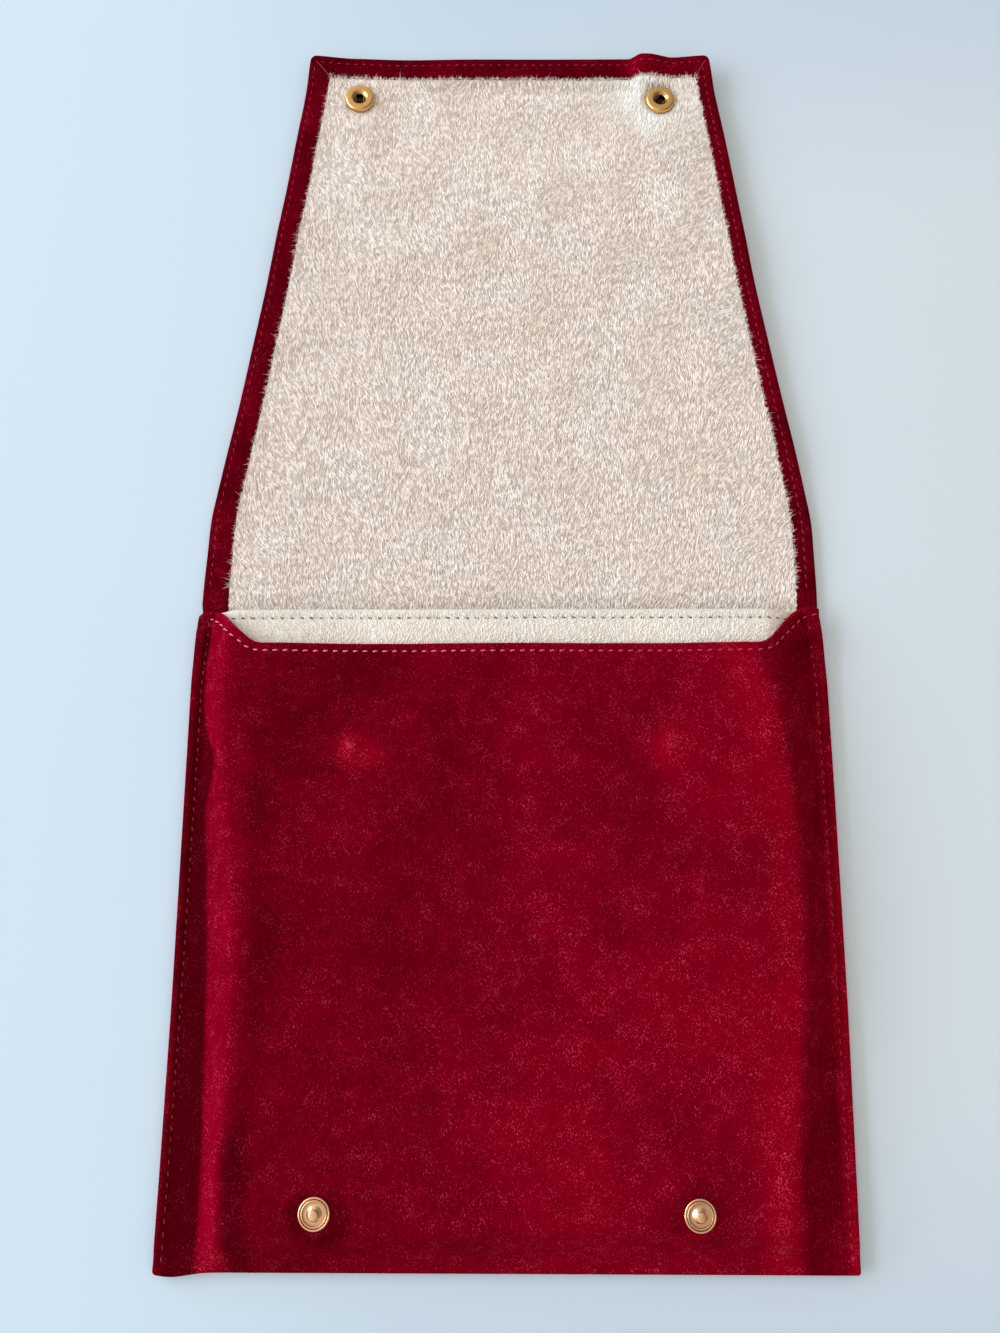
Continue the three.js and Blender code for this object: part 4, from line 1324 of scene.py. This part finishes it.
SOCKET_PROFILE = [
    (AXIS, 0.0), (4.5, 0.0), *arc(4.35, 0.85, 0.85, -80, 20, 7), *arc(4.25, 1.08, 0.92, 25, 88, 8),
    (3.4, 2.02), (2.86, 2.0), (2.76, 1.94), (1.9, 1.3), *arc(1.94, 1.16, 0.12, 130, 260, 6),
    (3.9, 0.94), (3.9, 0.62), (2.6, 0.6), (2.6, 0.32), (AXIS, 0.3),
]
STUD_PROFILE = [
    (AXIS, 0.0), (4.0, 0.0), *arc(4.2, 0.28, 0.3, -80, 90, 8), *arc(4.12, 0.4, 0.18, 90, 185, 5),
    (3.92, 0.1), (3.7, 0.1), *arc(3.46, 0.32, 0.24, -20, 165, 8), (3.16, 0.14), (2.7, 0.04),
    (2.2, 0.12), (1.75, 0.5), (1.36, 0.9), (1.14, 1.12), (1.06, 1.3), (1.08, 1.42),
    *arc(1.14, 1.7, 0.26, -70, 70, 7), (0.9, 2.0), (0.5, 2.07), (AXIS, 2.08),
]
CAP_PROFILE = [
    (AXIS, 0.0), (3.6, 0.03), (4.4, 0.12), *arc(4.9, 0.62, 0.4, -50, 60, 7), (5.25, 1.0), (AXIS, 1.0),
]


def hollows(centre, base, places):
    """Painted shade in a turned piece's hollows: bells, each at a radius and height, of a width and
    strength.
    """
    def hollow_shade(x, y, z):
        radius = apart(x, y, centre)
        near = [share * bell(apart(radius, z - base, (r, h)), 0, width) for r, h, width, share in places]
        return np.clip(sum(near), 0, 1)
    return hollow_shade


SOCKET_HOLLOWS = [(0, 0.3, 2.0, 1.0), (2.6, 0.5, 0.8, 1.0), (3.9, 0.8, 0.6, 1.0), (4.95, 0.1, 0.5, 0.7)]
STUD_HOLLOWS = [
    (3.8, 0.1, 0.3, 0.7), (2.95, 0.08, 0.32, 0.5), (1.12, 1.25, 0.35, 1.0), (4.3, 0, 0.3, 0.6),
]


def spring_wire(name, centre, level, turn):
    """Two straight legs beside the stud's neck, joined by a bow in the socket's groove."""
    leg, bow, wire, sides = 1.42, 3.4, 0.2, 12
    foot = math.sqrt(bow**2 - leg**2)
    start = math.acos(leg / bow)
    line = [(-leg, y) for y in np.linspace(-foot, foot * 0.97, 8)]
    line += [(bow * math.cos(a), bow * math.sin(a)) for a in np.linspace(math.pi - start, start, 17)]
    line += [(leg, y) for y in np.linspace(foot * 0.97, -foot, 8)]
    line = np.array(line)
    way = np.gradient(line, axis=0)
    way /= np.linalg.norm(way, axis=1, keepdims=True)
    angles = circle(sides)
    round_it = np.concatenate([[0.02], np.ones(len(line) - 2), [0.02]]) * wire
    x = line[:, :1] - way[:, 1:] * np.cos(angles) * round_it[:, None]
    y = line[:, 1:] + way[:, :1] * np.cos(angles) * round_it[:, None]
    z = np.sin(angles) * round_it[:, None]
    cos, sin = math.cos(turn), math.sin(turn)
    points = np.stack([centre[0] + x * cos - y * sin, centre[1] + x * sin + y * cos, level + z], 2)
    return make_piece(name, points.reshape(-1, 3), ring_faces(len(line), sides)[:, ::-1], WIRE)


for side, socket_at, stud_at, turn in zip(("left", "right"), SOCKETS, STUDS, (0, math.radians(-40))):
    socket = turned(f"{side}_socket", SOCKET_PROFILE, socket_at, SOCKET_BASE, BRASS)
    brush(socket, hollows(socket_at, SOCKET_BASE, SOCKET_HOLLOWS))
    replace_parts(finish_on(socket, "flap"), f"{side}_snap_socket")
    cap = turned(f"{side}_cap", CAP_PROFILE, socket_at, node_box(f"{side}_snap_cap")[0][2], BRASS)
    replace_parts(finish_on(cap, "flap"), f"{side}_snap_cap")
    wire = spring_wire(f"{side}_spring", socket_at, SOCKET_BASE + SPRING_LEVEL, turn)
    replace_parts(finish_on(wire, "flap"), f"{side}_snap_spring")
    stud = turned(f"{side}_press_stud", STUD_PROFILE, stud_at, STUD_BASE, ROSE_BRASS)
    brush(stud, hollows(stud_at, STUD_BASE, STUD_HOLLOWS))
    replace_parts(finish_on(stud, "pouch"), f"{side}_stud")

# The rivets and the pocket's own snaps keep their solids, in the same metal
for name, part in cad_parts.items():
    if "rivet" in name or "pocket_cap" in name or "pocket_s" in name and "snap" not in name:
        part.data.materials.clear()
        part.data.materials.append(BRASS)
